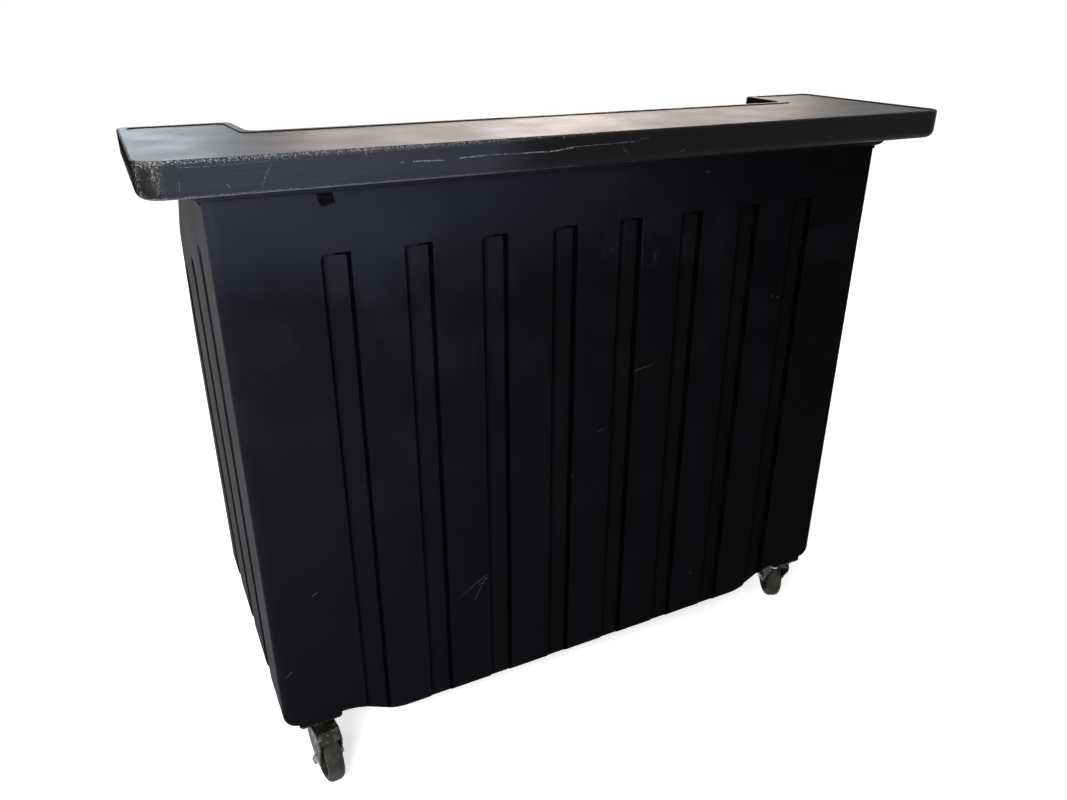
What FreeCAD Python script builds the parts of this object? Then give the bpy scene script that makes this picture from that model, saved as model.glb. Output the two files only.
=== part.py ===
# Portable bar: a moulded black polyethylene body with vertical flutes, a U-shaped counter top,
# a work deck with an ice bin and two bottle wells behind it, a cabinet with a shelf, and four
# swivel casters. Millimetres, +Z up, customers stand on the -Y side, floor at Z = 0, and the
# origin is on the floor under the middle of the whole bar.
import FreeCAD, Part
import math
import os

import Sketcher
from FreeCAD import Placement, Rotation, Vector

doc = FreeCAD.newDocument("portable_bar")
sizes = doc.addObject("Spreadsheet::Sheet", "sizes")

DRIVING_SIZES = [
    # whole bar
    ("overall_length", 1404), ("overall_depth", 660), ("caster_height", 130),
    ("body_height", 980), ("counter_thickness", 50),
    # double-wall body
    ("front_overhang", 75), ("side_overhang", 80), ("body_wall", 26), ("front_corner_radius", 16),
    ("foot_corner_radius", 28), ("skirt_drop", 38), ("foot_flat", 132), ("ogee_run", 75),
    ("ogee_radius", 110),
    ("shoulder_setback", 80), ("shoulder_drop", 164), ("hip_setback", 23), ("hip_drop", 382),
    ("shoulder_radius", 60), ("hip_radius", 250),
    # flutes pressed into the front and the sides
    ("flute_count", 8), ("flute_end_margin", 172.25), ("flute_width", 39), ("flute_depth", 10),
    ("flute_drop", 111), ("flute_end_radius", 7), ("flute_mouth_radius", 3.5),
    ("side_flute_count", 3), ("side_flute_front_margin", 152), ("side_flute_rear_margin", 97),
    ("side_flute_drop", 116),
    ("side_flute_step", 58),
    # counter top
    ("bar_depth", 245), ("wing_setback", 288), ("wing_root_width", 180), ("wing_end_width", 172),
    ("counter_corner_radius", 34), ("wing_corner_radius", 16), ("notch_corner_radius", 22),
    ("counter_edge_radius", 4), ("counter_lower_radius", 14),
    ("rim_width", 14), ("front_rim_width", 8), ("rim_height", 1.6),
    ("cove_lip", 3), ("cove_height", 24), ("cove_radius", 18),
    ("grip_start", 66), ("grip_end_margin", 28), ("grip_height", 19), ("grip_depth", 9), ("grip_rise", 13),
    ("finger_start", 30), ("finger_width", 8), ("finger_spacing", 12), ("finger_count", 3),
    # work deck on its ledges
    ("deck_drop", 242), ("deck_thickness", 20), ("deck_setback", 63), ("deck_gap", 1),
    ("deck_edge_radius", 4), ("ledge_depth", 14), ("ledge_height", 24),
    # ice bin, its cover and its drain
    ("bin_length", 520), ("bin_width", 330), ("bin_depth", 300), ("bin_wall", 18),
    ("bin_corner_radius", 38), ("bin_floor_radius", 16), ("bin_rear_margin", 48), ("flange_width", 16),
    ("flange_thickness", 5), ("drop_in_gap", 1),
    ("cover_thickness", 14), ("cover_gap", 1.5), ("cover_plug_depth", 8), ("cover_edge_radius", 5),
    ("cover_grip_length", 130), ("cover_grip_width", 36), ("cover_grip_depth", 9),
    ("cover_grip_rounding", 15), ("rest_gap", 0.3),
    ("drain_bore", 18), ("drain_tail_radius", 13), ("drain_flange_radius", 25),
    ("drain_flange_thickness", 3), ("drain_tail_drop", 34), ("gasket_thickness", 2.5),
    ("drain_nut_radius", 23), ("drain_nut_height", 11),
    ("valve_radius", 19), ("valve_height", 52), ("valve_socket_depth", 14), ("nipple_radius", 10),
    ("nipple_drop", 26), ("nipple_bore_radius", 7), ("barb_radius", 11.2),
    ("barb_height", 5), ("barb_spacing", 7.5), ("barb_count", 3), ("valve_collar_radius", 22),
    ("valve_collar_height", 18), ("stem_radius", 5), ("stem_gap", 0.06),
    ("ball_radius", 11), ("ball_gap", 0.3),
    ("lever_gap", 0.5), ("lever_length", 62), ("lever_width", 14), ("lever_thickness", 5),
    ("valve_neck_radius", 9), ("valve_neck_length", 12),
    # bottle wells
    ("bottle_cell", 88), ("bottle_count", 5), ("partition_thickness", 3), ("partition_height", 70),
    ("well_wall", 4), ("well_depth", 185), ("well_flange_width", 9), ("well_flange_thickness", 4),
    ("well_side_margin", 52), ("well_corner_radius", 14),
    # shelf and its clips
    ("shelf_level", 340), ("shelf_thickness", 18), ("shelf_setback", 115), ("shelf_gap", 2),
    ("shelf_front_margin", 40), ("clip_radius", 4), ("clip_length", 22), ("clip_in_wall", 10),
    ("clip_edge_margin", 60), ("shelf_edge_radius", 5),
    # steel angles and the screws that hold the counter and the deck
    ("angle_leg", 40), ("angle_sheet", 3), ("angle_bend_radius", 5), ("angle_width", 60),
    ("angle_side_place", 120), ("angle_end_margin", 216), ("angle_hole_reach", 25),
    ("angle_hole_spread", 15), ("screw_radius", 2.5), ("screw_length", 18),
    ("screw_head_radius", 5), ("screw_crown_radius", 3.4), ("screw_head_height", 2.5),
    ("deck_screw_length", 26), ("deck_screw_inset", 7), ("deck_screw_front_margin", 266),
    ("deck_screw_end_margin", 70),
    # casters
    ("pin_inset", 65), ("pin_front_inset", 33), ("pin_rear_inset", 66), ("trail", 35),
    ("wheel_diameter", 101.6), ("tyre_width", 32), ("tyre_thickness", 12), ("tread_radius", 11),
    ("rim_sheet", 3), ("wheel_rim_width", 28), ("web_thickness", 7), ("hub_radius", 13),
    ("hub_flare", 3), ("hub_gap", 0.5), ("bush_radius", 7), ("axle_radius", 4.8),
    ("axle_gap", 0.06), ("axle_end", 2), ("bolt_head_radius", 9.2), ("bolt_head_height", 5.5),
    ("nut_height", 7),
    ("plate_length", 80), ("plate_width", 64), ("plate_sheet", 3), ("plate_corner_radius", 8),
    ("bolt_spread_x", 30), ("bolt_spread_y", 22), ("bolt_radius", 4), ("raceway_radius", 28),
    ("raceway_height", 5), ("raceway_skirt", 2), ("raceway_skirt_height", 4),
    ("bearing_inner_radius", 15), ("bearing_radius", 23), ("bearing_height", 4.7),
    ("turn_gap", 0.3), ("crown_radius", 29), ("fork_sheet", 3), ("fork_gap", 3), ("fork_back", 26),
    ("fork_back_drop", 13), ("fork_over", 12), ("fork_lip_reach", 27), ("fork_lip_drop", 16),
    ("lip_top_inset", 1.3), ("lip_end_inset", 4.1), ("fork_eye_radius", 13),
    ("fork_eye_rounding", 12), ("fork_bend_radius", 2.5),
    ("king_radius", 6), ("king_head_radius", 10), ("king_head_height", 6), ("king_gap", 0.06),
    ("caster_bolt_length", 18), ("caster_bolt_head_radius", 7.5), ("caster_bolt_head_height", 5.3),
    ("insert_radius", 6), ("insert_length", 16),
    # brake pedals on the two rear casters
    ("pedal_pin_radius", 3), ("pedal_pin_reach", 11), ("pedal_pin_drop", 9), ("pedal_sheet", 3),
    ("pedal_gap", 0.5), ("pedal_pin_end", 1.5), ("pedal_pin_head_radius", 4.5),
    ("pedal_pin_gap", 0.06), ("pedal_eye_radius", 7), ("pedal_reach", 63),
    ("pedal_foot_start", 31), ("pedal_foot_drop", 13),
    ("pedal_cheek_depth", 10), ("shoe_gap", 4.5), ("shoe_width", 7), ("shoe_side_gap", 4),
    ("shoe_height", 11),
    # the least overrun of a cut past the face that it opens
    ("overrun", 10),
]
ANGLES = {
    "front_left_turn": -173.7, "front_right_turn": -25.4, "rear_left_turn": 205.0,
    "rear_right_turn": 160.0, "shoe_place": 50.0,
}


class Size:
    """A length together with its formula on the sheet, so that what is drawn also stays tied."""

    def __init__(self, value, formula):
        self.value = value
        self.formula = formula

    def join(self, other, sign, value):
        right = other.formula if isinstance(other, Size) else repr(float(other))
        return Size(value, "(%s %s %s)" % (self.formula, sign, right))

    def __add__(self, other):
        return self.join(other, "+", self.value + number(other))

    def __sub__(self, other):
        return self.join(other, "-", self.value - number(other))

    def __mul__(self, other):
        return self.join(other, "*", self.value * number(other))

    def __truediv__(self, other):
        return self.join(other, "/", self.value / number(other))

    def __neg__(self):
        return Size(-self.value, "(0 - %s)" % self.formula)


def number(size):
    return size.value if isinstance(size, Size) else float(size)


class Sheet:
    """The driving sizes by name."""


s = Sheet()
for row, (alias, value) in enumerate(DRIVING_SIZES, start=1):
    sizes.set("A%d" % row, alias)
    sizes.set("B%d" % row, str(value))
    sizes.setAlias("B%d" % row, alias)
    setattr(s, alias, Size(float(value), "sizes." + alias))
doc.recompute()


def bind(thing, path, size):
    """Ties one property to its formula, or sets a plain zero or count."""
    if isinstance(size, Size):
        thing.setExpression(path, size.formula)


def place(thing, x, y, z, rotation=None):
    thing.Placement = Placement(Vector(number(x), number(y), number(z)), rotation or Rotation())
    for axis, size in (("x", x), ("y", y), ("z", z)):
        bind(thing, "Placement.Base." + axis, size)
    return thing


# Places worked out from the driving sizes
half_length = s.overall_length / 2
half_depth = s.overall_depth / 2
counter_front = -half_depth
front_face = counter_front + s.front_overhang
rear_face = half_depth
half_body = half_length - s.side_overhang
half_inside = half_body - s.body_wall
inner_front = front_face + s.body_wall
foot_level = s.caster_height
skirt_level = foot_level - s.skirt_drop
body_top = foot_level + s.body_height
counter_top = body_top + s.counter_thickness
wing_rear = rear_face - s.wing_setback
bar_rear = counter_front + s.bar_depth
deck_top = body_top - s.deck_drop
deck_bottom = deck_top - s.deck_thickness
deck_rear = rear_face - s.deck_setback
foot_end = half_body - s.foot_flat
skirt_end = foot_end - s.ogee_run
shelf_front = inner_front + s.shelf_front_margin
shelf_rear = rear_face - s.shelf_setback
clip_places = [shelf_front + s.clip_edge_margin, shelf_rear - s.clip_edge_margin]
angle_side = front_face + s.angle_side_place
angle_front = half_inside - s.angle_end_margin
pin_x = half_body - s.pin_inset
pin_front = front_face + s.pin_front_inset
pin_rear = rear_face - s.pin_rear_inset

NEAR = 1e-4
AXIS_TURNS = {
    "z": Rotation(),
    "-z": Rotation(Vector(1, 0, 0), 180),
    "x": Rotation(Vector(0, 1, 0), 90),
    "-x": Rotation(Vector(0, 1, 0), -90),
    "y": Rotation(Vector(1, 0, 0), -90),
    "-y": Rotation(Vector(1, 0, 0), 90),
}


def box(name, length, width, height, x, y, z):
    thing = doc.addObject("Part::Box", name)
    for side, size in (("Length", length), ("Width", width), ("Height", height)):
        bind(thing, side, size)
    return place(thing, x, y, z)


def cylinder(name, radius, height, x, y, z, axis="z"):
    thing = doc.addObject("Part::Cylinder", name)
    bind(thing, "Radius", radius)
    bind(thing, "Height", height)
    return place(thing, x, y, z, AXIS_TURNS[axis])


def sphere(name, radius, x, y, z):
    thing = doc.addObject("Part::Sphere", name)
    bind(thing, "Radius", radius)
    return place(thing, x, y, z)


def hexagon(name, radius, height, x, y, z, axis="z"):
    thing = doc.addObject("Part::Prism", name)
    thing.Polygon = 6
    bind(thing, "Circumradius", radius)
    bind(thing, "Height", height)
    return place(thing, x, y, z, AXIS_TURNS[axis])


def cone(name, low_radius, high_radius, height, x, y, z, axis="z"):
    thing = doc.addObject("Part::Cone", name)
    bind(thing, "Radius1", low_radius)
    bind(thing, "Radius2", high_radius)
    bind(thing, "Height", height)
    return place(thing, x, y, z, AXIS_TURNS[axis])


def fuse(name, *pieces):
    thing = doc.addObject("Part::MultiFuse", name)
    thing.Shapes = list(pieces)
    return thing


def cut(name, base, *tools):
    thing = doc.addObject("Part::Cut", name)
    thing.Base = base
    thing.Tool = tools[0] if len(tools) == 1 else fuse(name + "_cuts", *tools)
    return thing


def group(name, pieces):
    """Like fasteners kept together as separate solids in one node."""
    thing = doc.addObject("Part::Compound", name)
    thing.Links = list(pieces)
    return thing


def origin_plane(body, role):
    return [part for part in body.Origin.OriginFeatures if part.Role == role][0]


def new_sketch(body, name, plane, level=None):
    """A sketch on one of the body's own planes, moved along the plane's normal to a level."""
    sketch = body.newObject("Sketcher::SketchObject", name)
    sketch.AttachmentSupport = (origin_plane(body, plane), [""])
    sketch.MapMode = "FlatFace"
    if level is not None:
        bind(sketch, "AttachmentOffset.Base.z", level)
    return sketch


def fix(sketch, kind, geometry, point, size):
    """Holds one end point of an edge at a distance from the sketch's origin."""
    if isinstance(size, Size):
        index = sketch.addConstraint(
            Sketcher.Constraint(kind, -1, 1, geometry, point, size.value))
        sketch.setExpression("Constraints[%d]" % index, size.formula)
    else:
        axis = -2 if kind == "DistanceX" else -1
        sketch.addConstraint(Sketcher.Constraint("PointOnObject", geometry, point, axis))


def add_outline(sketch, corners):
    """A closed outline of straight edges through corners given as pairs of sizes."""
    first = sketch.GeometryCount
    count = len(corners)
    points = [Vector(number(u), number(v), 0) for u, v in corners]
    for index in range(count):
        sketch.addGeometry(Part.LineSegment(points[index], points[(index + 1) % count]), False)
    for index in range(count):
        sketch.addConstraint(Sketcher.Constraint(
            "Coincident", first + index, 2, first + (index + 1) % count, 1))
    for index, (u, v) in enumerate(corners):
        fix(sketch, "DistanceX", first + index, 1, u)
        fix(sketch, "DistanceY", first + index, 1, v)
    return sketch


def add_circle(sketch, u, v, radius):
    index = sketch.addGeometry(
        Part.Circle(Vector(number(u), number(v), 0), Vector(0, 0, 1), radius.value), False)
    fix(sketch, "DistanceX", index, 3, u)
    fix(sketch, "DistanceY", index, 3, v)
    ring = sketch.addConstraint(Sketcher.Constraint("Radius", index, radius.value))
    sketch.setExpression("Constraints[%d]" % ring, radius.formula)
    return sketch


def add_curve(sketch, start, steps):
    """An outline with round stretches. Each step is an end point, a radius or None for a straight
    edge, and the side that the arc's centre is on: 1 to the left of the way, -1 to the right."""
    first = sketch.GeometryCount
    corners = [start] + [step[0] for step in steps]
    points = [Vector(number(u), number(v), 0) for u, v in corners]
    for index, (_, radius, side) in enumerate(steps):
        begin, end = points[index], points[index + 1]
        if radius is None:
            sketch.addGeometry(Part.LineSegment(begin, end), False)
            continue
        chord = end - begin
        leftward = Vector(-chord.y, chord.x, 0).normalize() * side
        rise = math.sqrt(max(radius.value ** 2 - (chord.Length / 2) ** 2, 0))
        centre = begin + chord / 2 + leftward * rise
        outward = (begin + end) / 2 - centre
        if outward.Length < NEAR:
            outward = -leftward
        crown = centre + outward.normalize() * radius.value
        sketch.addGeometry(Part.Arc(begin, crown, end), False)
    for index, (corner, radius, side) in enumerate(steps):
        edge = first + index
        starts_first = (sketch.Geometry[edge].StartPoint - points[index]).Length < NEAR
        begin_point, end_point = (1, 2) if starts_first else (2, 1)
        fix(sketch, "DistanceX", edge, begin_point, corners[index][0])
        fix(sketch, "DistanceY", edge, begin_point, corners[index][1])
        fix(sketch, "DistanceX", edge, end_point, corner[0])
        fix(sketch, "DistanceY", edge, end_point, corner[1])
        if radius is not None:
            ring = sketch.addConstraint(Sketcher.Constraint("Radius", edge, radius.value))
            sketch.setExpression("Constraints[%d]" % ring, radius.formula)
    return sketch


def rectangle(u_low, u_high, v_low, v_high):
    return [(u_low, v_low), (u_high, v_low), (u_high, v_high), (u_low, v_high)]


def add_rounded_rectangle(sketch, u_low, u_high, v_low, v_high, radius):
    return add_curve(sketch, (u_low + radius, v_low), [
        ((u_high - radius, v_low), None, 0), ((u_high, v_low + radius), radius, 1),
        ((u_high, v_high - radius), None, 0), ((u_high - radius, v_high), radius, 1),
        ((u_low + radius, v_high), None, 0), ((u_low, v_high - radius), radius, 1),
        ((u_low, v_low + radius), None, 0), ((u_low + radius, v_low), radius, 1),
    ])


def pad(body, name, sketch, length, symmetric=False, reversed_way=False):
    feature = body.newObject("PartDesign::Pad", name)
    feature.Profile = sketch
    feature.SideType = "Symmetric" if symmetric else "One side"
    feature.Reversed = reversed_way
    bind(feature, "Length", length)
    doc.recompute()
    return feature


def pocket(body, name, sketch, depth=None, symmetric=False, reversed_way=False):
    """A cut into the solid, of a given depth or right through, that has to take material away."""
    before = body.Tip.Shape.Volume
    feature = body.newObject("PartDesign::Pocket", name)
    feature.Profile = sketch
    feature.SideType = "Symmetric" if symmetric else "One side"
    feature.Reversed = reversed_way
    if depth is None:
        feature.Type = "ThroughAll"
    else:
        bind(feature, "Length", depth)
    doc.recompute()
    if not feature.Shape.Volume < before:
        raise RuntimeError(name + " took no material away")
    return feature


def repeat(body, name, feature, direction, spacing, count):
    """Copies of a feature at equal steps along a sketch axis."""
    pattern = body.newObject("PartDesign::LinearPattern", name)
    pattern.Originals = [feature]
    pattern.Direction = direction
    pattern.Mode = "Spacing"
    bind(pattern, "Offset", spacing)
    pattern.setExpression("Occurrences", count.formula)
    body.Tip = pattern
    doc.recompute()
    return pattern


def spin(body, name, sketch):
    """A full turn of a profile about the sketch's own level axis."""
    feature = body.newObject("PartDesign::Revolution", name)
    feature.Profile = sketch
    feature.ReferenceAxis = (sketch, ["H_Axis"])
    doc.recompute()
    return feature


def mirror(body, name, features, role="YZ_Plane"):
    """The same features on the other side of one of the body's planes."""
    copy = body.newObject("PartDesign::Mirrored", name)
    copy.Originals = features
    copy.MirrorPlane = (origin_plane(body, role), [""])
    body.Tip = copy
    doc.recompute()
    return copy


def round_edges(body, name, radius, chosen):
    """A fillet on the edges of the tip that the test picks out."""
    tip = body.Tip
    edges = ["Edge%d" % (number_ + 1) for number_, edge in enumerate(tip.Shape.Edges)
             if chosen(edge)]
    if not edges:
        raise RuntimeError(name + " found no edge")
    feature = body.newObject("PartDesign::Fillet", name)
    feature.Base = (tip, edges)
    bind(feature, "Radius", radius)
    doc.recompute()
    return feature


def spans(edge, axis):
    box_ = edge.BoundBox
    return {"x": box_.XLength, "y": box_.YLength, "z": box_.ZLength}[axis]


def along(edge, axis):
    """True for a straight edge that runs along one axis."""
    others = [other for other in "xyz" if other != axis]
    return spans(edge, axis) > NEAR and all(spans(edge, other) < NEAR for other in others)


def lies_at(edge, **levels):
    """True where the whole edge lies at the given x, y or z."""
    box_ = edge.BoundBox
    ends = {"x": (box_.XMin, box_.XMax), "y": (box_.YMin, box_.YMax), "z": (box_.ZMin, box_.ZMax)}
    return all(abs(end - number(level)) < NEAR
               for axis, level in levels.items() for end in ends[axis])


def near(value, size):
    return abs(value - number(size)) < NEAR


# Body: one rotationally moulded double-wall shell, open at the back
body_shell = doc.addObject("PartDesign::Body", "body_shell")
side_outline = new_sketch(body_shell, "side_outline", "YZ_Plane")
add_outline(side_outline, [
    (front_face, skirt_level),
    (rear_face, skirt_level),
    (rear_face - s.hip_setback, body_top - s.hip_drop),
    (rear_face - s.shoulder_setback, body_top - s.shoulder_drop),
    (wing_rear, body_top),
    (front_face, body_top),
])
pad(body_shell, "body_block", side_outline, half_body * 2, symmetric=True)

foot_outline = new_sketch(body_shell, "foot_outline", "XZ_Plane")
for side in (1, -1):
    add_outline(foot_outline, [
        ((half_body + s.overrun) * side, foot_level),
        (foot_end * side, foot_level),
        (skirt_end * side, skirt_level),
        (skirt_end * side, skirt_level - s.overrun),
        ((half_body + s.overrun) * side, skirt_level - s.overrun),
    ])
pocket(body_shell, "foot_cuts", foot_outline, symmetric=True)


def is_ogee_edge(edge):
    middle = edge.BoundBox.Center
    at_foot = near(abs(middle.x), foot_end) and near(middle.z, foot_level)
    at_skirt = near(abs(middle.x), skirt_end) and near(middle.z, skirt_level)
    return along(edge, "y") and (at_foot or at_skirt)


round_edges(body_shell, "ogee_curves", s.ogee_radius, is_ogee_edge)


def is_rear_bend(setback, drop):
    return lambda edge: along(edge, "x") and lies_at(edge, y=rear_face - setback, z=body_top - drop)


round_edges(body_shell, "shoulder_bend", s.shoulder_radius,
            is_rear_bend(s.shoulder_setback, s.shoulder_drop))
round_edges(body_shell, "hip_bend", s.hip_radius, is_rear_bend(s.hip_setback, s.hip_drop))
round_edges(body_shell, "foot_corners", s.foot_corner_radius,
            lambda edge: along(edge, "y") and near(abs(edge.BoundBox.Center.x), half_body)
            and near(edge.BoundBox.Center.z, foot_level))
round_edges(body_shell, "front_corners", s.front_corner_radius,
            lambda edge: along(edge, "z") and near(abs(edge.BoundBox.Center.x), half_body)
            and lies_at(edge, y=front_face))
caster_seats = new_sketch(body_shell, "caster_seats_outline", "XY_Plane", foot_level)
for x_side in (-1, 1):
    for pin_y in (pin_front, pin_rear):
        add_rounded_rectangle(caster_seats, pin_x * x_side - s.plate_length / 2,
                              pin_x * x_side + s.plate_length / 2, pin_y - s.plate_width / 2,
                              pin_y + s.plate_width / 2, s.plate_corner_radius)
pad(body_shell, "caster_seats", caster_seats, s.front_corner_radius)

cavity_outline = new_sketch(body_shell, "cavity_outline", "XZ_Plane", -inner_front)
floor_top = foot_level + s.body_wall
add_outline(cavity_outline, [
    (-half_inside, body_top + s.overrun),
    (-half_inside, floor_top),
    (-foot_end + s.body_wall / 2, floor_top),
    (-skirt_end + s.body_wall / 2, skirt_level + s.body_wall),
    (skirt_end - s.body_wall / 2, skirt_level + s.body_wall),
    (foot_end - s.body_wall / 2, floor_top),
    (half_inside, floor_top),
    (half_inside, body_top + s.overrun),
])
pocket(body_shell, "cavity", cavity_outline)

ledge_top = deck_bottom
ledge_outline = new_sketch(body_shell, "ledge_outline", "XZ_Plane", -inner_front)
for side in (1, -1):
    add_outline(ledge_outline, [
        (half_inside * side, ledge_top),
        ((half_inside - s.ledge_depth) * side, ledge_top),
        (half_inside * side, ledge_top - s.ledge_height),
    ])
pad(body_shell, "side_ledges", ledge_outline, deck_rear - inner_front, reversed_way=True)
front_ledge_outline = new_sketch(body_shell, "front_ledge_outline", "YZ_Plane")
add_outline(front_ledge_outline, [
    (inner_front, ledge_top),
    (inner_front + s.ledge_depth, ledge_top),
    (inner_front, ledge_top - s.ledge_height),
])
pad(body_shell, "front_ledge", front_ledge_outline, half_inside * 2, symmetric=True)

# Flutes: long recesses with rounded mouths that run out through the foot
flute_outline = new_sketch(body_shell, "flute_outline", "XZ_Plane", -front_face)
first_flute = half_body - s.flute_end_margin
flute_step = first_flute * 2 / (s.flute_count - 1)
add_outline(flute_outline, rectangle(
    -first_flute - s.flute_width / 2, -first_flute + s.flute_width / 2,
    skirt_level - s.overrun, body_top - s.flute_drop))
front_flute = pocket(body_shell, "front_flute", flute_outline, s.flute_depth)
repeat(body_shell, "front_flutes", front_flute, (flute_outline, ["H_Axis"]),
       flute_step, s.flute_count)

side_flute_outline = new_sketch(body_shell, "side_flute_outline", "YZ_Plane", half_body)
first_side_flute = front_face + s.side_flute_front_margin
side_flute_run = rear_face - s.side_flute_rear_margin - first_side_flute
side_flute_places = [first_side_flute + side_flute_run * step / (s.side_flute_count - 1)
                     for step in range(int(s.side_flute_count.value))]
for step, middle in enumerate(side_flute_places):
    add_outline(side_flute_outline, rectangle(
        middle - s.flute_width / 2, middle + s.flute_width / 2,
        skirt_level - s.overrun, body_top - s.side_flute_drop - s.side_flute_step * step))
right_flutes = pocket(body_shell, "right_flutes", side_flute_outline, s.flute_depth)
mirror(body_shell, "left_flutes", [right_flutes])


def is_flute_end_corner(edge):
    box_ = edge.BoundBox
    if box_.Center.z < body_top.value / 2:
        return False
    front = along(edge, "y") and near(box_.YMin, front_face) and near(box_.YLength, s.flute_depth)
    side = along(edge, "x") and near(box_.XLength, s.flute_depth) and \
        near(max(abs(box_.XMin), abs(box_.XMax)), half_body)
    return front or side


round_edges(body_shell, "flute_ends", s.flute_end_radius, is_flute_end_corner)


def is_flute_mouth(edge):
    """The upright walls, the end and the rounded end corners of every flute at the surface."""
    box_ = edge.BoundBox
    upright = box_.ZLength > s.flute_width.value and along(edge, "z")
    ending = box_.Center.z > body_top.value / 2 and box_.ZLength < s.flute_width.value
    if near(box_.YMin, front_face) and box_.YLength < NEAR:
        inside = abs(box_.Center.x) < half_body.value - s.front_corner_radius.value - NEAR
        below_top = box_.ZMax < body_top.value - s.flute_drop.value + NEAR
        return inside and below_top and (upright or ending)
    if near(abs(box_.Center.x), half_body) and box_.XLength < NEAR:
        below_top = box_.ZMax < body_top.value - s.side_flute_drop.value + NEAR
        offsets = [abs(box_.Center.y - place_.value) for place_ in side_flute_places]
        at_wall = any(near(offset, s.flute_width / 2) for offset in offsets)
        at_end = any(offset < s.flute_width.value / 2 + NEAR for offset in offsets)
        return below_top and (upright and at_wall or ending and at_end)
    return False


round_edges(body_shell, "flute_mouths", s.flute_mouth_radius, is_flute_mouth)


def pierce(body, name, plane, level, centres, radius, depth=None, reversed_way=False):
    """Round holes of one radius and depth, given by their centres on the sketch."""
    sketch = new_sketch(body, name + "_outline", plane, level)
    for u, v in centres:
        add_circle(sketch, u, v, radius)
    return pocket(body, name, sketch, depth, reversed_way=reversed_way)


# Holes in the shell: caster inserts in the corner floors, shelf clips and bracket screws in the
# walls, deck screws in the ledges
caster_bolt_places = [
    (pin_x * x_side + s.bolt_spread_x * u, pin_y + s.bolt_spread_y * v)
    for x_side in (-1, 1) for pin_y in (pin_front, pin_rear) for u in (-1, 1) for v in (-1, 1)]
pierce(body_shell, "insert_holes", "XY_Plane", foot_level, caster_bolt_places,
       s.insert_radius, s.insert_length, reversed_way=True)
clip_level = s.shelf_level - s.clip_radius
right_clip_holes = pierce(body_shell, "right_clip_holes", "YZ_Plane", half_inside,
                          [(y, clip_level) for y in clip_places],
                          s.clip_radius, s.clip_in_wall, reversed_way=True)
mirror(body_shell, "left_clip_holes", [right_clip_holes])
angle_hole_level = body_top - s.angle_hole_reach
angle_spots = [(angle_front * x_side + s.angle_hole_spread * u)
               for x_side in (-1, 1) for u in (-1, 1)]
side_spots = [angle_side + s.angle_hole_spread * u for u in (-1, 1)]
angle_screw_depth = s.screw_length - s.angle_sheet
pierce(body_shell, "front_angle_holes", "XZ_Plane", -inner_front,
       [(x, angle_hole_level) for x in angle_spots],
       s.screw_radius, angle_screw_depth, reversed_way=True)
right_angle_holes = pierce(body_shell, "right_angle_holes", "YZ_Plane", half_inside,
                           [(y, angle_hole_level) for y in side_spots],
                           s.screw_radius, angle_screw_depth, reversed_way=True)
mirror(body_shell, "left_angle_holes", [right_angle_holes])
deck_screw_front = inner_front + s.deck_screw_inset
deck_screw_side = half_inside - s.deck_screw_inset
deck_screw_places = [
    ((half_inside - s.deck_screw_front_margin) * side, deck_screw_front) for side in (-1, 1)] + [
    (deck_screw_side * side, y) for side in (-1, 1)
    for y in (inner_front + s.deck_screw_end_margin, deck_rear - s.deck_screw_end_margin)]
pierce(body_shell, "ledge_holes", "XY_Plane", ledge_top, deck_screw_places,
       s.screw_radius, s.deck_screw_length - s.deck_thickness)

# Counter top: a U-shaped moulding with a low rim round a sunk panel, rolled lower edges, hand
# holds in its ends, and a cove underneath that laps over the top of the body
countertop = doc.addObject("PartDesign::Body", "countertop")
counter_outline = new_sketch(countertop, "counter_outline", "XY_Plane", body_top)
notch_inner = half_length - s.wing_root_width
notch_outer = half_length - s.wing_end_width
corner = s.counter_corner_radius
wing_corner = s.wing_corner_radius


def half_counter(side):
    """The corners of one half of the U, from the middle of the front to the notch."""
    return [
        ((half_length - corner) * side, counter_front),
        (half_length * side, counter_front + corner),
        (half_length * side, wing_rear - wing_corner),
        ((half_length - wing_corner) * side, wing_rear),
        (notch_outer * side, wing_rear),
        (notch_inner * side, bar_rear),
    ]


right, left = half_counter(1), half_counter(-1)
add_curve(counter_outline, left[0], [
    (right[0], None, 0), (right[1], corner, 1), (right[2], None, 0), (right[3], wing_corner, 1),
    (right[4], None, 0), (right[5], None, 0), (left[5], None, 0), (left[4], None, 0),
    (left[3], None, 0), (left[2], wing_corner, 1), (left[1], None, 0), (left[0], corner, 1),
])
pad(countertop, "counter_slab", counter_outline, s.counter_thickness)


def upright_corner(x, y):
    """Picks the upright edges at a place on both sides of the middle."""
    return lambda edge: along(edge, "z") and near(abs(edge.BoundBox.Center.x), x) and \
        near(edge.BoundBox.Center.y, y)


round_edges(countertop, "wing_inner_corners", wing_corner, upright_corner(notch_outer, wing_rear))
round_edges(countertop, "notch_plan_corners", s.notch_corner_radius,
            upright_corner(notch_inner, bar_rear))
round_edges(countertop, "lower_edges", s.counter_lower_radius,
            lambda edge: edge.BoundBox.ZMax < body_top.value + NEAR)
cove_end = wing_rear - s.counter_lower_radius
cove_path = new_sketch(countertop, "cove_path", "XY_Plane", body_top)
add_curve(cove_path, (-half_body, cove_end), [
    ((-half_body, front_face + s.front_corner_radius), None, 0),
    ((-half_body + s.front_corner_radius, front_face), s.front_corner_radius, 1),
    ((half_body - s.front_corner_radius, front_face), None, 0),
    ((half_body, front_face + s.front_corner_radius), s.front_corner_radius, 1),
    ((half_body, cove_end), None, 0),
])
cove_profile = new_sketch(countertop, "cove_profile", "XZ_Plane", -cove_end)
cove_out = -half_body - s.cove_lip
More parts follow.
